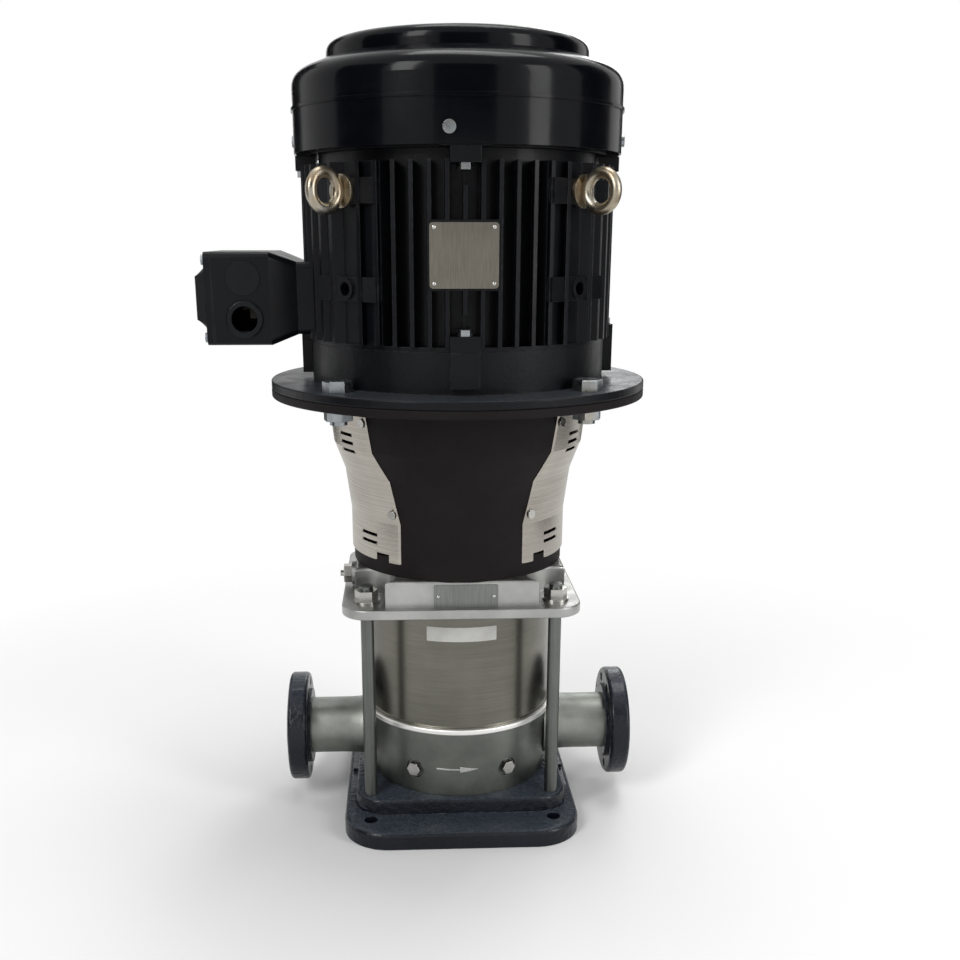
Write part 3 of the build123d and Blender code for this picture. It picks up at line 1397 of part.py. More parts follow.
lid_plane = side_plane(-1, box_outer_x + gasket, 0, box_middle)
with BuildPart() as box_gasket:
    seal_plane = side_plane(-1, box_outer_x, 0, box_middle)
    extrude(block(seal_plane, box_y, box_height, box_corner), amount=gasket)
    extrude(block(seal_plane, box_y - 2 * box_wall, box_height - 2 * box_wall, box_corner / 2), amount=gasket,
            mode=Mode.SUBTRACT)
finish(box_gasket, "box_gasket")

with BuildPart() as box_lid:
    extrude(block(lid_plane, box_y, box_height, box_corner), amount=lid_rim)
    extrude(block(lid_plane.offset(lid_rim), box_y - 2 * lid_margin, box_height - 2 * lid_margin, box_corner),
            amount=lid_crown, taper=lid_draft)
    for y, z in corners(lid_screw_y, lid_screw_z):
        hole = side_plane(-1, box_outer_x + gasket, y, box_middle + z)
        extrude(disc(hole, lid_screw_radius + slip), amount=lid_rim + 2, mode=Mode.SUBTRACT)
finish(box_lid, "box_lid")

with BuildPart() as lid_screws:
    for y, z in corners(lid_screw_y, lid_screw_z):
        head = side_plane(-1, box_outer_x + gasket + lid_rim, y, box_middle + z)
        extrude(disc(head, lid_screw_head), amount=lid_screw_head_height)
        extrude(disc(head, lid_screw_radius), amount=-lid_rim - gasket - lid_screw_depth + 1)
finish(lid_screws, "lid_screws")

with BuildPart() as terminal_block:
    base = side_plane(-1, box_inner_x, block_place_y, box_middle)
    extrude(block(base, block_y, block_z), amount=block_x)
    with BuildSketch(base.offset(block_x)):
        with GridLocations(block_stud_pitch, block_stud_pitch, block_columns, 2):
            Circle(block_stud_radius)
    extrude(amount=block_stud_out)
finish(terminal_block, "terminal_block")
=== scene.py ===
"""Looks of a vertical in-line multistage centrifugal pump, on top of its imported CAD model."""
import json
import math

import bmesh
import bpy
from mathutils import Matrix, Vector


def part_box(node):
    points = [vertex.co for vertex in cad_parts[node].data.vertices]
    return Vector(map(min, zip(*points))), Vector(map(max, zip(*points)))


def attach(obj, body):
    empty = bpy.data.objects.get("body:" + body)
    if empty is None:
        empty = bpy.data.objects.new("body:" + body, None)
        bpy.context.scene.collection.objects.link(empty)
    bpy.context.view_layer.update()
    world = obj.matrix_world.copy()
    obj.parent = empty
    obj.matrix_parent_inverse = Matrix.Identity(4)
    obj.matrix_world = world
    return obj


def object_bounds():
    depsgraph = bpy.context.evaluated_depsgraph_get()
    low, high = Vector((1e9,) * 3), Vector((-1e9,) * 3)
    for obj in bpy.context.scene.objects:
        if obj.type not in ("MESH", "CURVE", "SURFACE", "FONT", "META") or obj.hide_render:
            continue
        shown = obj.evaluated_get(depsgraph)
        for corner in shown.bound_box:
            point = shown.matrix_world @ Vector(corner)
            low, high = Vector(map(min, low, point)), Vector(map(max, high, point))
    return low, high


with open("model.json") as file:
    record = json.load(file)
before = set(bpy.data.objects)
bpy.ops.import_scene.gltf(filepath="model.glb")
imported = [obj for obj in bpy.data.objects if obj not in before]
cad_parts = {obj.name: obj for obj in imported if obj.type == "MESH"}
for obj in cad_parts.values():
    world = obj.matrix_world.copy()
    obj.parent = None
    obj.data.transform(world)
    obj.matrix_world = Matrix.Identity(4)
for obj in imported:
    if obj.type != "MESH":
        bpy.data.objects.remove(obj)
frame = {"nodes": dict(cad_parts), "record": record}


def plain_box(corners):
    """Box corners as plain lists of numbers."""
    return [[float(value) for value in corner] for corner in corners]


cad_box = plain_box(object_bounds())
nodes = frame["nodes"]
slot_of = {part["node"]: part["material_slot"] for part in frame["record"]["subparts"]}

# Picture frame and the camera that took the photograph
FRAME_PIXELS = 960
FOCAL_PIXELS = 1123.0
CENTRE_X, CENTRE_Y = 457.5, 582.0
CAMERA_DISTANCE = 1.135
CAMERA_HEIGHT = 0.586
CAMERA_TURN = 0.045
CAMERA_PITCH = 0.30
SENSOR = 36.0

# Bare plates, their rivets, the label and the flow arrow: sizes and middles in metres
PLATE = 0.0008
MOTOR_PLATE = (0.0590, 0.0540)
MOTOR_PLATE_CORNER = 0.003
MOTOR_PLATE_MIDDLE = (-0.001, 0.569)
MOTOR_PAD = -0.1481            # just outside the tips of the front fins
HEAD_PLATE = (0.0620, 0.0240)
HEAD_PLATE_CORNER = 0.0015
HEAD_PLATE_MIDDLE = (0.0035, 0.2525)
HEAD_FACE = -0.105
LABEL = (0.0690, 0.0148)
LABEL_CORNER = 0.001
LABEL_MIDDLE = (0.0, 0.2104)
LABEL_FILM = 0.0002
LABEL_STRIPS = 14
ARROW_MIDDLE = (-0.0042, 0.0636)
ARROW_LENGTH = 0.043
ARROW_HEAD = 0.019
ARROW_WIDTH = 0.0070
ARROW_STEM = 0.0016
ARROW_RISE = 0.0009
ARROW_STRIPS = 10
BARREL_FOOT = (0.033, 0.094)   # height and radius of the port casing's barrel at its foot
BARREL_TOP = (0.104, 0.097)
RIVET = 0.0018
RIVET_INSET = 0.0040
CORNER_STEPS = 5

# Port casing: where the barrel ends and the necks begin, and where the painted highlight on its lip starts
NECK_START, NECK_FULL = 0.094, 0.104
LIP_HIGHLIGHT_START, LIP_HIGHLIGHT_FULL = 0.1020, 0.1026

# Bevel rays for soft edges, and the radius within which an edge takes the worn colour, partly a painted
# highlight
BEVEL_SAMPLES = 4
WORN_AND_HIGHLIT_EDGE = 0.0012

# Stage
FLOOR_RADIUS = 14.0
FLOOR_SIDES = 96
FLOOR_GAP = 0.0004
FLOOR_FADE = (0.35, 0.95)
FLOOR_COLOUR = 0.86
WORLD_FILL = 0.38
MIDDLE_HEIGHT = cad_box[1][2] / 2
FLAG_HEIGHT = 0.35             # the height that the low flags face
LAMPS = (                      # name, place, power, width, height
    ("key", (-1.5, -1.9, 1.9), 34.0, 0.7, 1.5),
    ("fill", (1.8, -1.4, 1.1), 18.0, 0.6, 1.5),
    ("top", (0.2, 0.4, 2.6), 26.0, 1.4, 1.0),
    ("back", (0.9, 2.1, 1.5), 18.0, 1.0, 1.2),
)
FLAGS = (                      # name, place, aim, width, height
    ("flag_left", (-1.3, -0.5, 0.5), (0, 0, FLAG_HEIGHT), 0.9, 2.2),
    ("flag_right", (1.25, 0.25, 0.5), (0, 0, FLAG_HEIGHT), 0.8, 2.2),
    ("flag_front", (0.05, -1.05, 0.98), (0.05, 0, 0.85), 0.75, 0.5),
    ("flag_back_left", (-0.9, 1.3, 0.5), (0, 0, FLAG_HEIGHT), 0.7, 2.2),
    ("flag_back_right", (0.75, 1.4, 0.5), (0, 0, FLAG_HEIGHT), 0.5, 2.2),
)


# Node trees
class Tree:
    """A material's node tree, with short calls for the nodes used here."""

    def __init__(self, name):
        self.material = bpy.data.materials.new(name)
        self.material.use_nodes = True
        self.nodes = self.material.node_tree.nodes
        self.links = self.material.node_tree.links
        self.shader = self.nodes["Principled BSDF"]
        self.place = self.add("ShaderNodeTexCoord").outputs["Object"]

    def add(self, kind, **settings):
        node = self.nodes.new(kind)
        for key, value in settings.items():
            setattr(node, key, value)
        return node

    def plug(self, source, socket):
        if hasattr(source, "links"):
            self.links.new(source, socket)
        else:
            socket.default_value = source

    def stretched(self, scale):
        """Object coordinates, scaled by three numbers."""
        node = self.add("ShaderNodeMapping")
        self.plug(self.place, node.inputs["Vector"])
        node.inputs["Scale"].default_value = scale
        return node.outputs["Vector"]

    def around(self, turns, height):
        """Coordinates round the upright axis: the angle scaled by turns, and z scaled by height."""
        parts = self.add("ShaderNodeSeparateXYZ")
        self.plug(self.place, parts.inputs[0])
        angle = self.math("ARCTAN2", parts.outputs["Y"], parts.outputs["X"])
        joined = self.add("ShaderNodeCombineXYZ")
        self.plug(self.math("MULTIPLY", self.math("SINE", angle), turns), joined.inputs["X"])
        self.plug(self.math("MULTIPLY", self.math("COSINE", angle), turns), joined.inputs["Y"])
        self.plug(self.math("MULTIPLY", parts.outputs["Z"], height), joined.inputs["Z"])
        return joined.outputs[0]

    def noise(self, scale, detail=4.0, rough=0.55, vector=None, distortion=0.0):
        node = self.add("ShaderNodeTexNoise")
        self.plug(vector or self.place, node.inputs["Vector"])
        node.inputs["Scale"].default_value = scale
        node.inputs["Detail"].default_value = detail
        node.inputs["Roughness"].default_value = rough
        node.inputs["Distortion"].default_value = distortion
        return node.outputs["Fac"]

    def math(self, operation, a, b=0.0):
        node = self.add("ShaderNodeMath", operation=operation)
        self.plug(a, node.inputs[0])
        self.plug(b, node.inputs[1])
        return node.outputs[0]

    def span(self, value, low, high, start, end):
        """value from low..high, mapped to start..end and held there."""
        node = self.add("ShaderNodeMapRange")
        self.plug(value, node.inputs["Value"])
        for name, number in (("From Min", low), ("From Max", high), ("To Min", start), ("To Max", end)):
            node.inputs[name].default_value = number
        return node.outputs["Result"]

    def mix(self, share, first, second, blend="MIX"):
        node = self.add("ShaderNodeMix", data_type="RGBA", blend_type=blend)
        self.plug(share, node.inputs["Factor"])
        self.plug(first, node.inputs[6])
        self.plug(second, node.inputs[7])
        return node.outputs[2]

    def edges(self, radius):
        """0 on flat faces, rising to 1 on edges, from the difference between a rounded and a true normal."""
        soft = self.add("ShaderNodeBevel", samples=BEVEL_SAMPLES)
        soft.inputs["Radius"].default_value = radius
        true = self.add("ShaderNodeNewGeometry")
        dot = self.add("ShaderNodeVectorMath", operation="DOT_PRODUCT")
        self.plug(soft.outputs[0], dot.inputs[0])
        self.plug(true.outputs["Normal"], dot.inputs[1])
        return self.span(dot.outputs["Value"], 0.995, 0.9, 0.0, 1.0)

    def relief(self, layers, round_edges=0.0):
        """Bump from (height, metres) layers, over edges rounded by a radius."""
        normal = None
        if round_edges:
            soft = self.add("ShaderNodeBevel", samples=BEVEL_SAMPLES)
            soft.inputs["Radius"].default_value = round_edges
            normal = soft.outputs[0]
        for height, depth in layers:
            bump = self.add("ShaderNodeBump")
            bump.inputs["Distance"].default_value = depth
            self.plug(height, bump.inputs["Height"])
            if normal is not None:
                self.plug(normal, bump.inputs["Normal"])
            normal = bump.outputs[0]
        self.plug(normal, self.shader.inputs["Normal"])

    def set(self, **values):
        """Shader inputs by name, with _ for a space: a constant or a socket."""
        for key, value in values.items():
            self.plug(value, self.shader.inputs[key.replace("_", " ")])


def rgba(red, green, blue):
    return (red, green, blue, 1.0)


# Materials
def enamel(name, colour, dust, rough, lumps, grain, coat, sheen, wear_and_edge_highlight=0.0, worn_and_highlight_colour=(0.3, 0.3, 0.3),
           dust_and_top_light=None):
    """Paint over metal: lumps and grain are the depths of its relief, wear bares its edges in a colour that
    is partly worn paint and partly painted highlight, and a settled colour, partly dust and partly painted
    light, lightens its upward faces."""
    tree = Tree(name)
    cloud = tree.noise(9.0, 5.0)
    body = tree.mix(tree.span(cloud, 0.35, 0.7, 0.0, 1.0), rgba(*colour), rgba(*dust))
    # Upward faces lighten in speckles: partly settled dust, partly painted light on the lit top faces.
    if dust_and_top_light:
        facing = tree.add("ShaderNodeSeparateXYZ")
        tree.plug(tree.add("ShaderNodeNewGeometry").outputs["Normal"], facing.inputs[0])
        level = tree.math("MULTIPLY", tree.span(facing.outputs["Z"], 0.6, 0.95, 0.0, 1.0),
                          tree.span(tree.noise(320.0, 4.0), 0.3, 0.7, 0.35, 1.0))
        body = tree.mix(level, body, rgba(*dust_and_top_light))
    # Edges lighten in speckles: partly worn paint, partly painted edge highlight.
    if wear_and_edge_highlight:
        chips_and_highlights = tree.math("MULTIPLY", tree.edges(WORN_AND_HIGHLIT_EDGE),
                          tree.span(tree.noise(160.0, 3.0), 0.45, 0.62, 0.0, wear_and_edge_highlight))
        body = tree.mix(chips_and_highlights, body, rgba(*worn_and_highlight_colour))
    tree.set(Base_Color=body, Metallic=0.0, Coat_Weight=coat, Coat_Roughness=0.1, Specular_IOR_Level=sheen,
             Roughness=tree.span(tree.noise(38.0, 4.0), 0.3, 0.7, rough - 0.06, rough + 0.08))
    tree.relief(((tree.noise(210.0, 2.0), lumps), (tree.noise(1400.0, 3.0), grain)), 0.0008)
    return tree.material


def metal(name, bright, dull, rough, grain, grain_scale=900.0, edge=0.0007, cloud_scale=14.0):
    """Bare metal with clouded colour and a fine even grain."""
    tree = Tree(name)
    cloud = tree.noise(cloud_scale, 6.0, 0.62)
    tree.set(Base_Color=tree.mix(tree.span(cloud, 0.34, 0.68, 0.0, 1.0), rgba(*bright), rgba(*dull)),
             Metallic=1.0,
             Roughness=tree.span(tree.noise(60.0, 5.0), 0.3, 0.7, rough - 0.06, rough + 0.09))
    tree.relief(((tree.noise(grain_scale, 3.0), grain),), edge)
    return tree.material


def brushed(name, bright, dull, rough, vector_call, fine, anisotropy=0.0, edge=0.0004):
    """Metal with drawn brush lines: vector_call gives coordinates stretched along them."""
    tree = Tree(name)
    lines = tree.noise(1.0, 6.0, 0.7, vector=vector_call(tree))
    cloud = tree.noise(16.0, 5.0)
    shade = tree.math("ADD", tree.math("MULTIPLY", lines, 0.6), tree.math("MULTIPLY", cloud, 0.4))
    tree.set(Base_Color=tree.mix(tree.span(shade, 0.35, 0.65, 0.0, 1.0), rgba(*bright), rgba(*dull)),
             Metallic=1.0, Anisotropic=anisotropy,
             Roughness=tree.span(lines, 0.3, 0.7, rough - 0.05, rough + 0.1))
    if anisotropy:
        tangent = tree.add("ShaderNodeTangent", direction_type="RADIAL", axis="Z")
        tree.plug(tangent.outputs[0], tree.shader.inputs["Tangent"])
    tree.relief(((lines, fine),), edge)
    return tree.material


def plated(name, first, second, third, rough):
    """Zinc plating: its colour drifts between three shades."""
    tree = Tree(name)
    drift = tree.mix(tree.span(tree.noise(70.0, 3.0), 0.35, 0.65, 0.0, 1.0), rgba(*first), rgba(*second))
    patches = tree.noise(45.0, 2.0, vector=tree.stretched((1.0, 1.3, 0.8)))
    drift = tree.mix(tree.span(patches, 0.5, 0.7, 0.0, 0.8), drift, rgba(*third))
    tree.set(Base_Color=drift, Metallic=1.0,
             Roughness=tree.span(tree.noise(120.0, 4.0), 0.3, 0.7, rough - 0.05, rough + 0.1))
    tree.relief(((tree.noise(1500.0, 2.0), 0.00004),), 0.0005)
    return tree.material


def moulded(name, colour, other, rough, sheen=0.4, grain=0.00003):
    """Moulded plastic or rubber with a fine skin."""
    tree = Tree(name)
    cloud = tree.span(tree.noise(30.0, 4.0), 0.35, 0.65, 0.0, 1.0)
    tree.set(Base_Color=tree.mix(cloud, rgba(*colour), rgba(*other)), Specular_IOR_Level=sheen,
             Roughness=tree.span(tree.noise(55.0, 4.0), 0.3, 0.7, rough - 0.05, rough + 0.08))
    tree.relief(((tree.noise(1100.0, 2.0), grain),), 0.0005)
    return tree.material


def laminated(name):
    """Stacked sheets: fine level lines."""
    tree = Tree(name)
    sheets = tree.noise(1.0, 2.0, 0.5, vector=tree.stretched((3.0, 3.0, 1600.0)))
    tree.set(Base_Color=tree.mix(sheets, rgba(0.2, 0.2, 0.21), rgba(0.42, 0.42, 0.43)), Metallic=1.0,
             Roughness=tree.span(sheets, 0.3, 0.7, 0.35, 0.5))
    tree.relief(((sheets, 0.0001),), 0.0004)
    return tree.material


def casing_steel(name):
    """The port casing: a barrel darkened with painted shade between brighter, smoother necks, and a painted
    highlight on its lip.
    """
    tree = Tree(name)
    parts = tree.add("ShaderNodeSeparateXYZ")
    tree.plug(tree.place, parts.inputs[0])
    outward = tree.span(tree.math("ABSOLUTE", parts.outputs["X"]), NECK_START, NECK_FULL, 0.0, 1.0)
    cloud = tree.span(tree.noise(18.0, 6.0, 0.62), 0.34, 0.68, 0.0, 1.0)
    # Painted shade: the barrel is the necks' steel, coloured darker.
    barrel = tree.mix(cloud, rgba(0.200, 0.208, 0.190), rgba(0.125, 0.132, 0.120))
    # Painted highlight: the barrel's top whitens into a bright lip.
    lip_highlight = tree.span(parts.outputs["Z"], LIP_HIGHLIGHT_START, LIP_HIGHLIGHT_FULL, 0.0, 1.0)
    barrel = tree.mix(lip_highlight, barrel, rgba(0.86, 0.85, 0.82))
    neck = tree.mix(cloud, rgba(0.30, 0.31, 0.285), rgba(0.19, 0.20, 0.18))
    tree.set(Base_Color=tree.mix(outward, barrel, neck), Metallic=1.0,
             Roughness=tree.span(tree.noise(60.0, 5.0), 0.3, 0.7, 0.34, 0.5))
    tree.relief(((tree.noise(800.0, 3.0), 0.00010),), 0.0008)
    return tree.material


# A material for each slot of the record, and for the nodes that look different from their slot
MATERIALS = {
    # The foot's lighter edges and upward faces are partly wear and dust, partly painted highlight and painted
    # top light.
    "black_cast_iron": enamel("black_cast_iron", (0.0042, 0.0058, 0.0100), (0.0095, 0.0120, 0.0180),
                              rough=0.30, lumps=0.0012, grain=0.00008, coat=0.20, sheen=0.17,
                              wear_and_edge_highlight=0.7, worn_and_highlight_colour=(0.12, 0.135, 0.160), dust_and_top_light=(0.050, 0.062, 0.080)),
    "cast_stainless": metal("cast_stainless", (0.44, 0.44, 0.425), (0.30, 0.303, 0.292), 0.38, 0.00010),
    "brushed_sleeve": brushed("brushed_sleeve", (0.195, 0.190, 0.163), (0.110, 0.107, 0.091), 0.20,
                              lambda tree: tree.around(1.2, 2600.0), 0.00002, 0.75),
    "inner_stainless": metal("inner_stainless", (0.50, 0.48, 0.45), (0.36, 0.35, 0.33), 0.28, 0.00004),
    "rod_steel": brushed("rod_steel", (0.175, 0.185, 0.175), (0.105, 0.112, 0.105), 0.34,
                         lambda tree: tree.stretched((700.0, 700.0, 6.0)), 0.00003),
    "steel_hardware": metal("steel_hardware", (0.58, 0.57, 0.54), (0.36, 0.35, 0.33), 0.22, 0.00005),
    "zinc_hardware": plated("zinc_hardware", (0.33, 0.35, 0.36), (0.22, 0.24, 0.26),
                            (0.32, 0.30, 0.25), 0.28),
    "yellow_zinc": plated("yellow_zinc", (0.42, 0.375, 0.29), (0.26, 0.205, 0.14),
                          (0.45, 0.44, 0.40), 0.30),
    "rubber_seal": moulded("rubber_seal", (0.008, 0.008, 0.008), (0.014, 0.014, 0.014), 0.7, 0.15),
    "carbide": metal("carbide", (0.10, 0.10, 0.11), (0.06, 0.06, 0.065), 0.2, 0.00001),
    "ptfe": moulded("ptfe", (0.80, 0.79, 0.75), (0.74, 0.73, 0.69), 0.45),
    "guard_sheet": brushed("guard_sheet", (0.46, 0.43, 0.385), (0.30, 0.275, 0.24), 0.27,
                           lambda tree: tree.around(1.0, 1800.0), 0.00002, 0.6),
    # Its lighter worn edges are partly a painted highlight on the fin edges.
    "motor_paint": enamel("motor_paint", (0.0026, 0.0030, 0.0040), (0.0048, 0.0053, 0.0066),
                          rough=0.36, lumps=0.00018, grain=0.00004, coat=0.04, sheen=0.12,
                          wear_and_edge_highlight=0.4, worn_and_highlight_colour=(0.050, 0.054, 0.062)),
    "cover_paint": enamel("cover_paint", (0.0018, 0.0021, 0.0031), (0.0030, 0.0034, 0.0046),
                          rough=0.20, lumps=0.00005, grain=0.00001, coat=0.12, sheen=0.06),
    "lamination": laminated("lamination"),
    "copper_winding": metal("copper_winding", (0.66, 0.30, 0.13), (0.42, 0.17, 0.07), 0.3, 0.0003, 500.0),
    "bearing_steel": metal("bearing_steel", (0.66, 0.66, 0.68), (0.5, 0.5, 0.52), 0.16, 0.00001),
    "coupling_steel": metal("coupling_steel", (0.24, 0.24, 0.25), (0.14, 0.14, 0.145), 0.36, 0.0001),
    "fan_plastic": moulded("fan_plastic", (0.010, 0.010, 0.011), (0.018, 0.018, 0.020), 0.5, 0.2),
    "gloss_black_plastic": moulded("gloss_black_plastic", (0.003, 0.004, 0.005), (0.006, 0.007, 0.009),
                                   0.22, 0.16),
    "matte_plastic_cream": moulded("matte_plastic_cream", (0.018, 0.014, 0.010), (0.012, 0.009, 0.007),
                                   0.5, 0.15),
}
ON_NODES = {
    "port_casing": casing_steel("casing_steel"),
    # The flange's lighter edges and upward faces are partly wear and dust, partly painted highlight and
    # painted top light.
    "flange_shield": enamel("flange_paint", (0.0030, 0.0034, 0.0044), (0.0055, 0.0060, 0.0074),
                            rough=0.38, lumps=0.00025, grain=0.00008, coat=0.04, sheen=0.13,
                            wear_and_edge_highlight=0.5, worn_and_highlight_colour=(0.060, 0.066, 0.078), dust_and_top_light=(0.046, 0.052, 0.061)),
    "motor_stool": enamel("stool_paint", (0.0065, 0.0050, 0.0050), (0.0105, 0.0088, 0.0088),
                          rough=0.60, lumps=0.00025, grain=0.00005, coat=0.0, sheen=0.12),
}

for name, piece in nodes.items():
    material = ON_NODES.get(name) or MATERIALS[slot_of[name]]
    if not piece.material_slots:
        piece.data.materials.append(material)
    for holder in piece.material_slots:
        holder.material = material


# Pieces that the solids leave to the looks: bare plates, their rivets, the label and the flow arrow
def rounded(width, height, corner):
    """Points round a rectangle with rounded corners, about its middle."""
    points = []
    for quarter, (side_x, side_z) in enumerate(((1, 1), (-1, 1), (-1, -1), (1, -1))):
        for step in range(CORNER_STEPS + 1):
            angle = math.pi / 2 * (quarter + step / CORNER_STEPS)
            points.append((side_x * (width / 2 - corner) + corner * math.cos(angle),
                           side_z * (height / 2 - corner) + corner * math.sin(angle)))
    return points


def sheet(name, outline, middle, surface, thickness, material, strips=1):
    """A thin solid sheet on surface(x, z) -> y, from an outline given about its middle (x, z).

    A sheet that wraps a round wall is cut into upright strips."""
    form = bmesh.new()
    for x, z in outline:
        form.verts.new((middle[0] + x, 0.0, middle[1] + z))
    form.faces.new(form.verts)
    low = min(x for x, z in outline)
    high = max(x for x, z in outline)
    for strip in range(1, strips):
        cut = middle[0] + low + (high - low) * strip / strips
        bmesh.ops.bisect_plane(form, geom=form.verts[:] + form.edges[:] + form.faces[:],
                               plane_co=(cut, 0, 0), plane_no=(1, 0, 0))
    back = form.faces[:]
    front = bmesh.ops.extrude_face_region(form, geom=back)["geom"]
    lifted = {vertex for vertex in front if isinstance(vertex, bmesh.types.BMVert)}
    for vertex in form.verts:
        vertex.co.y = surface(vertex.co.x, vertex.co.z) - (thickness if vertex in lifted else 0.0)
    bmesh.ops.recalc_face_normals(form, faces=form.faces)
    mesh = bpy.data.meshes.new(name)
    form.to_mesh(mesh)
    form.free()
    return dress(bpy.data.objects.new(name, mesh), material)


def dress(piece, material, body="frame"):
    """Link a piece, give it its material, and let it ride."""
    bpy.context.scene.collection.objects.link(piece)
    piece.data.materials.append(material)
    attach(piece, body)
    return piece


def rivets(name, places, radius, height, material):
    """Domed rivet heads facing the front, at (x, y, z) places."""
    form = bmesh.new()
    for place in places:
        dome = bmesh.ops.create_uvsphere(form, u_segments=20, v_segments=10, radius=radius)["verts"]
        for vertex in dome:
            vertex.co.y *= height / radius
            vertex.co += Vector(place)
    mesh = bpy.data.meshes.new(name)
    form.to_mesh(mesh)
    form.free()
    for face in mesh.polygons:
        face.use_smooth = True
    return dress(bpy.data.objects.new(name, mesh), material)


def engraved_plate(name, bright, dull, rough):
    """Rolled sheet with a fine upright grain and faint stains."""
    return brushed(name, bright, dull, rough, lambda tree: tree.stretched((900.0, 900.0, 40.0)), 0.00002)


def paper(name):
    """Satin label film, a little soiled."""
    tree = Tree(name)
    tree.set(Base_Color=tree.mix(tree.span(tree.noise(60.0, 5.0), 0.45, 0.75, 0.0, 1.0),
                                 rgba(0.48, 0.48, 0.455), rgba(0.41, 0.405, 0.38)),
             Roughness=tree.span(tree.noise(90.0, 3.0), 0.3, 0.7, 0.3, 0.42), Coat_Weight=0.3)
    tree.relief(((tree.noise(700.0, 2.0), 0.00002),))
    return tree.material


sleeve_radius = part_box("outer_sleeve")[1].x

plate_steel = engraved_plate("rating_plate", (0.21, 0.195, 0.165), (0.125, 0.115, 0.095), 0.36)
head_plate_steel = engraved_plate("head_plate", (0.235, 0.245, 0.235), (0.155, 0.165, 0.155), 0.42)
raised_steel = metal("raised_steel", (0.62, 0.62, 0.59), (0.46, 0.46, 0.44), 0.3, 0.00005)


def on_motor(x, z):
    return MOTOR_PAD


def on_head(x, z):
    return HEAD_FACE


def on_sleeve(x, z):
    return -math.sqrt(sleeve_radius ** 2 - x ** 2)


def on_barrel(x, z):
    """The port casing's barrel leans outward from its foot to its top."""
    share = (z - BARREL_FOOT[0]) / (BARREL_TOP[0] - BARREL_FOOT[0])
    radius = BARREL_FOOT[1] + share * (BARREL_TOP[1] - BARREL_FOOT[1])
    return -math.sqrt(radius ** 2 - x ** 2)


def arrow():
    """An arrow that points along +X, about its middle."""
    tail, neck, point = -ARROW_LENGTH / 2, ARROW_LENGTH / 2 - ARROW_HEAD, ARROW_LENGTH / 2
    stem, barb = ARROW_STEM / 2, ARROW_WIDTH / 2
    return [(tail, -stem), (neck, -stem), (neck, -barb), (point, 0.0),
            (neck, barb), (neck, stem), (tail, stem)]


hardware = MATERIALS["steel_hardware"]
sheet("motor_rating_plate", rounded(*MOTOR_PLATE, MOTOR_PLATE_CORNER), MOTOR_PLATE_MIDDLE, on_motor, PLATE,
      plate_steel)
rivets("motor_plate_rivets",
       [(MOTOR_PLATE_MIDDLE[0] + side_x * (MOTOR_PLATE[0] / 2 - RIVET_INSET), MOTOR_PAD - PLATE,
         MOTOR_PLATE_MIDDLE[1] + side_z * (MOTOR_PLATE[1] / 2 - RIVET_INSET))
        for side_x in (-1, 1) for side_z in (-1, 1)], RIVET, RIVET / 2, hardware)
sheet("head_rating_plate", rounded(*HEAD_PLATE, HEAD_PLATE_CORNER), HEAD_PLATE_MIDDLE, on_head, PLATE,
      head_plate_steel)
rivets("head_plate_rivets",
       [(HEAD_PLATE_MIDDLE[0] + side * (HEAD_PLATE[0] / 2 - RIVET_INSET), HEAD_FACE - PLATE,
         HEAD_PLATE_MIDDLE[1])
        for side in (-1, 1)], RIVET, RIVET / 2, hardware)
sheet("sleeve_label", rounded(*LABEL, LABEL_CORNER), LABEL_MIDDLE, on_sleeve, LABEL_FILM, paper("label_film"),
      LABEL_STRIPS)
sheet("flow_arrow", arrow(), ARROW_MIDDLE, on_barrel, ARROW_RISE, raised_steel,
      ARROW_STRIPS)


# Stage: floor, world, lamps and camera
def stage_floor():
    """A wide pale disc that whitens away from the object, so that no horizon shows."""
    mesh = bpy.data.meshes.new("floor")
    form = bmesh.new()
    bmesh.ops.create_circle(form, cap_ends=True, segments=FLOOR_SIDES, radius=FLOOR_RADIUS)
    form.to_mesh(mesh)
    form.free()
    floor = bpy.data.objects.new("floor", mesh)
    bpy.context.scene.collection.objects.link(floor)
    floor.location.z = cad_box[0][2] - FLOOR_GAP
    tree = Tree("floor_paper")
    tree.set(Base_Color=rgba(FLOOR_COLOUR, FLOOR_COLOUR, FLOOR_COLOUR), Roughness=0.9, Specular_IOR_Level=0.1)
    length = tree.add("ShaderNodeVectorMath", operation="LENGTH")
    tree.plug(tree.place, length.inputs[0])
    far = tree.span(length.outputs["Value"], *FLOOR_FADE, 0.0, 1.0)
    white = tree.add("ShaderNodeEmission")
    white.inputs["Color"].default_value = rgba(1.0, 1.0, 1.0)
    join = tree.add("ShaderNodeMixShader")
    rays = tree.add("ShaderNodeLightPath")
    seen = tree.math("MAXIMUM", rays.outputs["Is Camera Ray"],
                     tree.math("MAXIMUM", rays.outputs["Is Glossy Ray"], rays.outputs["Is Transmission Ray"]))
    tree.plug(tree.math("MULTIPLY", far, seen), join.inputs[0])
    tree.links.new(tree.shader.outputs[0], join.inputs[1])
    tree.links.new(white.outputs[0], join.inputs[2])
    tree.links.new(join.outputs[0], tree.nodes["Material Output"].inputs["Surface"])
    floor.data.materials.append(tree.material)


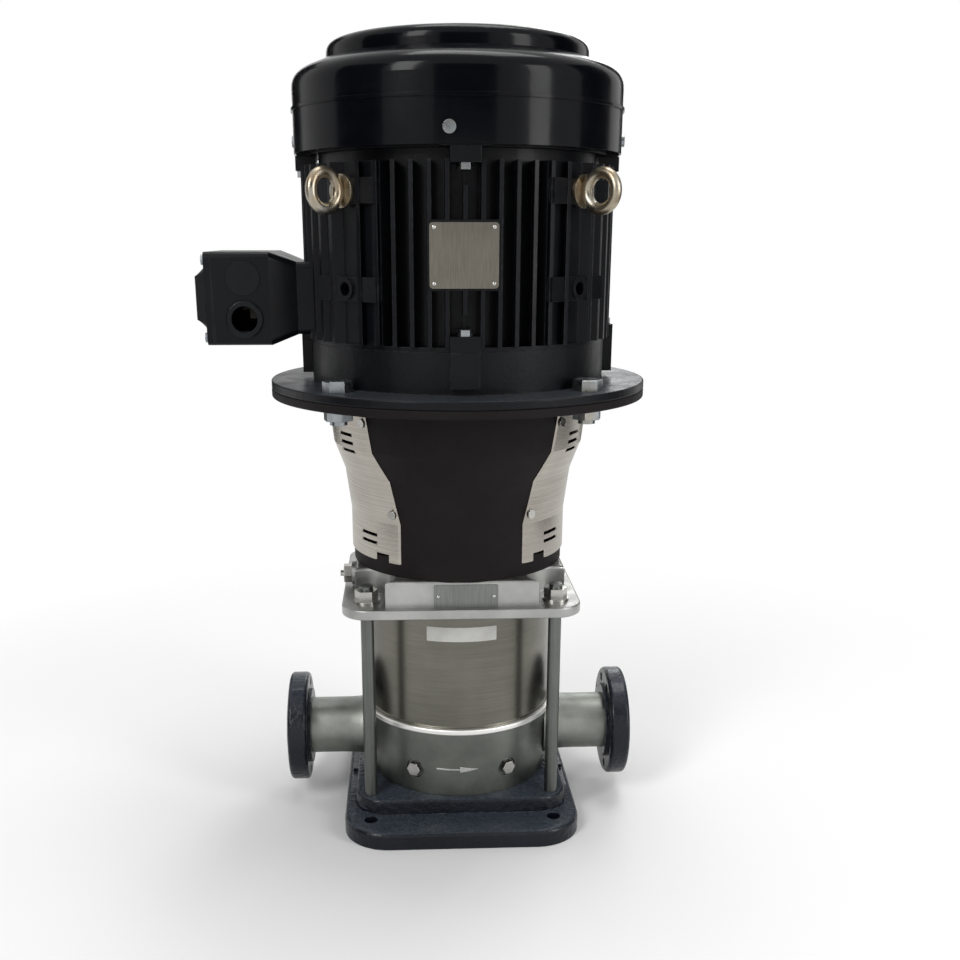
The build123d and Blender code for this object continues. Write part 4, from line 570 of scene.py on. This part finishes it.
def studio_world():
    """White where it is seen or mirrored, and a plain soft fill elsewhere."""
    world = bpy.data.worlds.new("studio")
    bpy.context.scene.world = world
    world.use_nodes = True
    links, made = world.node_tree.links, world.node_tree.nodes
    fill = made["Background"]
    fill.inputs["Color"].default_value = rgba(1.0, 1.0, 1.0)
    fill.inputs["Strength"].default_value = WORLD_FILL
    seen = made.new("ShaderNodeBackground")
    seen.inputs["Color"].default_value = rgba(1.0, 1.0, 1.0)
    seen.inputs["Strength"].default_value = 1.0
    rays = made.new("ShaderNodeLightPath")
    either = made.new("ShaderNodeMath")
    either.operation = "MAXIMUM"
    links.new(rays.outputs["Is Camera Ray"], either.inputs[0])
    through = made.new("ShaderNodeMath")
    through.operation = "MAXIMUM"
    links.new(rays.outputs["Is Glossy Ray"], through.inputs[0])
    links.new(rays.outputs["Is Transmission Ray"], through.inputs[1])
    links.new(through.outputs[0], either.inputs[1])
    join = made.new("ShaderNodeMixShader")
    links.new(either.outputs[0], join.inputs[0])
    links.new(fill.outputs[0], join.inputs[1])
    links.new(seen.outputs[0], join.inputs[2])
    links.new(join.outputs[0], made["World Output"].inputs["Surface"])


def faced(holder, place, aim):
    """Put an object at place, facing aim."""
    holder.location = place
    holder.rotation_euler = (Vector(aim) - Vector(place)).to_track_quat("-Z", "Y").to_euler()


def lamp(name, place, power, width, height):
    """A soft rectangular lamp at place, facing the object's middle."""
    light = bpy.data.lights.new(name, "AREA")
    light.shape = "RECTANGLE"
    light.size, light.size_y = width, height
    light.energy = power
    holder = bpy.data.objects.new(name, light)
    bpy.context.scene.collection.objects.link(holder)
    faced(holder, place, (0, 0, MIDDLE_HEIGHT))


def flag(name, place, aim, width, height):
    """A black card that only mirrors see: it draws the dark bands down the metal."""
    mesh = bpy.data.meshes.new(name)
    form = bmesh.new()
    bmesh.ops.create_grid(form, x_segments=1, y_segments=1, size=0.5,
                          matrix=Matrix.Diagonal((width, height, 1.0, 1.0)))
    form.to_mesh(mesh)
    form.free()
    card = bpy.data.objects.new(name, mesh)
    bpy.context.scene.collection.objects.link(card)
    faced(card, place, aim)
    card.visible_camera = card.visible_diffuse = card.visible_shadow = card.visible_transmission = False
    tree = Tree(name + "_cloth")
    tree.set(Base_Color=rgba(0.01, 0.01, 0.01), Roughness=1.0, Specular_IOR_Level=0.0)
    card.data.materials.append(tree.material)


def camera():
    """The photograph's camera: turned, pitched down and shifted to the picture's own centre."""
    data = bpy.data.cameras.new("camera")
    data.sensor_fit = "HORIZONTAL"
    data.sensor_width = SENSOR
    data.lens = FOCAL_PIXELS / FRAME_PIXELS * SENSOR
    data.shift_x = (FRAME_PIXELS / 2 - CENTRE_X) / FRAME_PIXELS
    data.shift_y = (CENTRE_Y - FRAME_PIXELS / 2) / FRAME_PIXELS
    holder = bpy.data.objects.new("camera", data)
    bpy.context.scene.collection.objects.link(holder)
    holder.location = (-CAMERA_DISTANCE * math.sin(CAMERA_TURN), -CAMERA_DISTANCE * math.cos(CAMERA_TURN),
                       CAMERA_HEIGHT)
    level = math.cos(CAMERA_PITCH)
    ahead = Vector((math.sin(CAMERA_TURN) * level, math.cos(CAMERA_TURN) * level, -math.sin(CAMERA_PITCH)))
    holder.rotation_euler = ahead.to_track_quat("-Z", "Y").to_euler()
    bpy.context.scene.camera = holder


stage_floor()
studio_world()
for settings in LAMPS:
    lamp(*settings)
for settings in FLAGS:
    flag(*settings)
camera()

bpy.context.scene.view_settings.view_transform = "Standard"
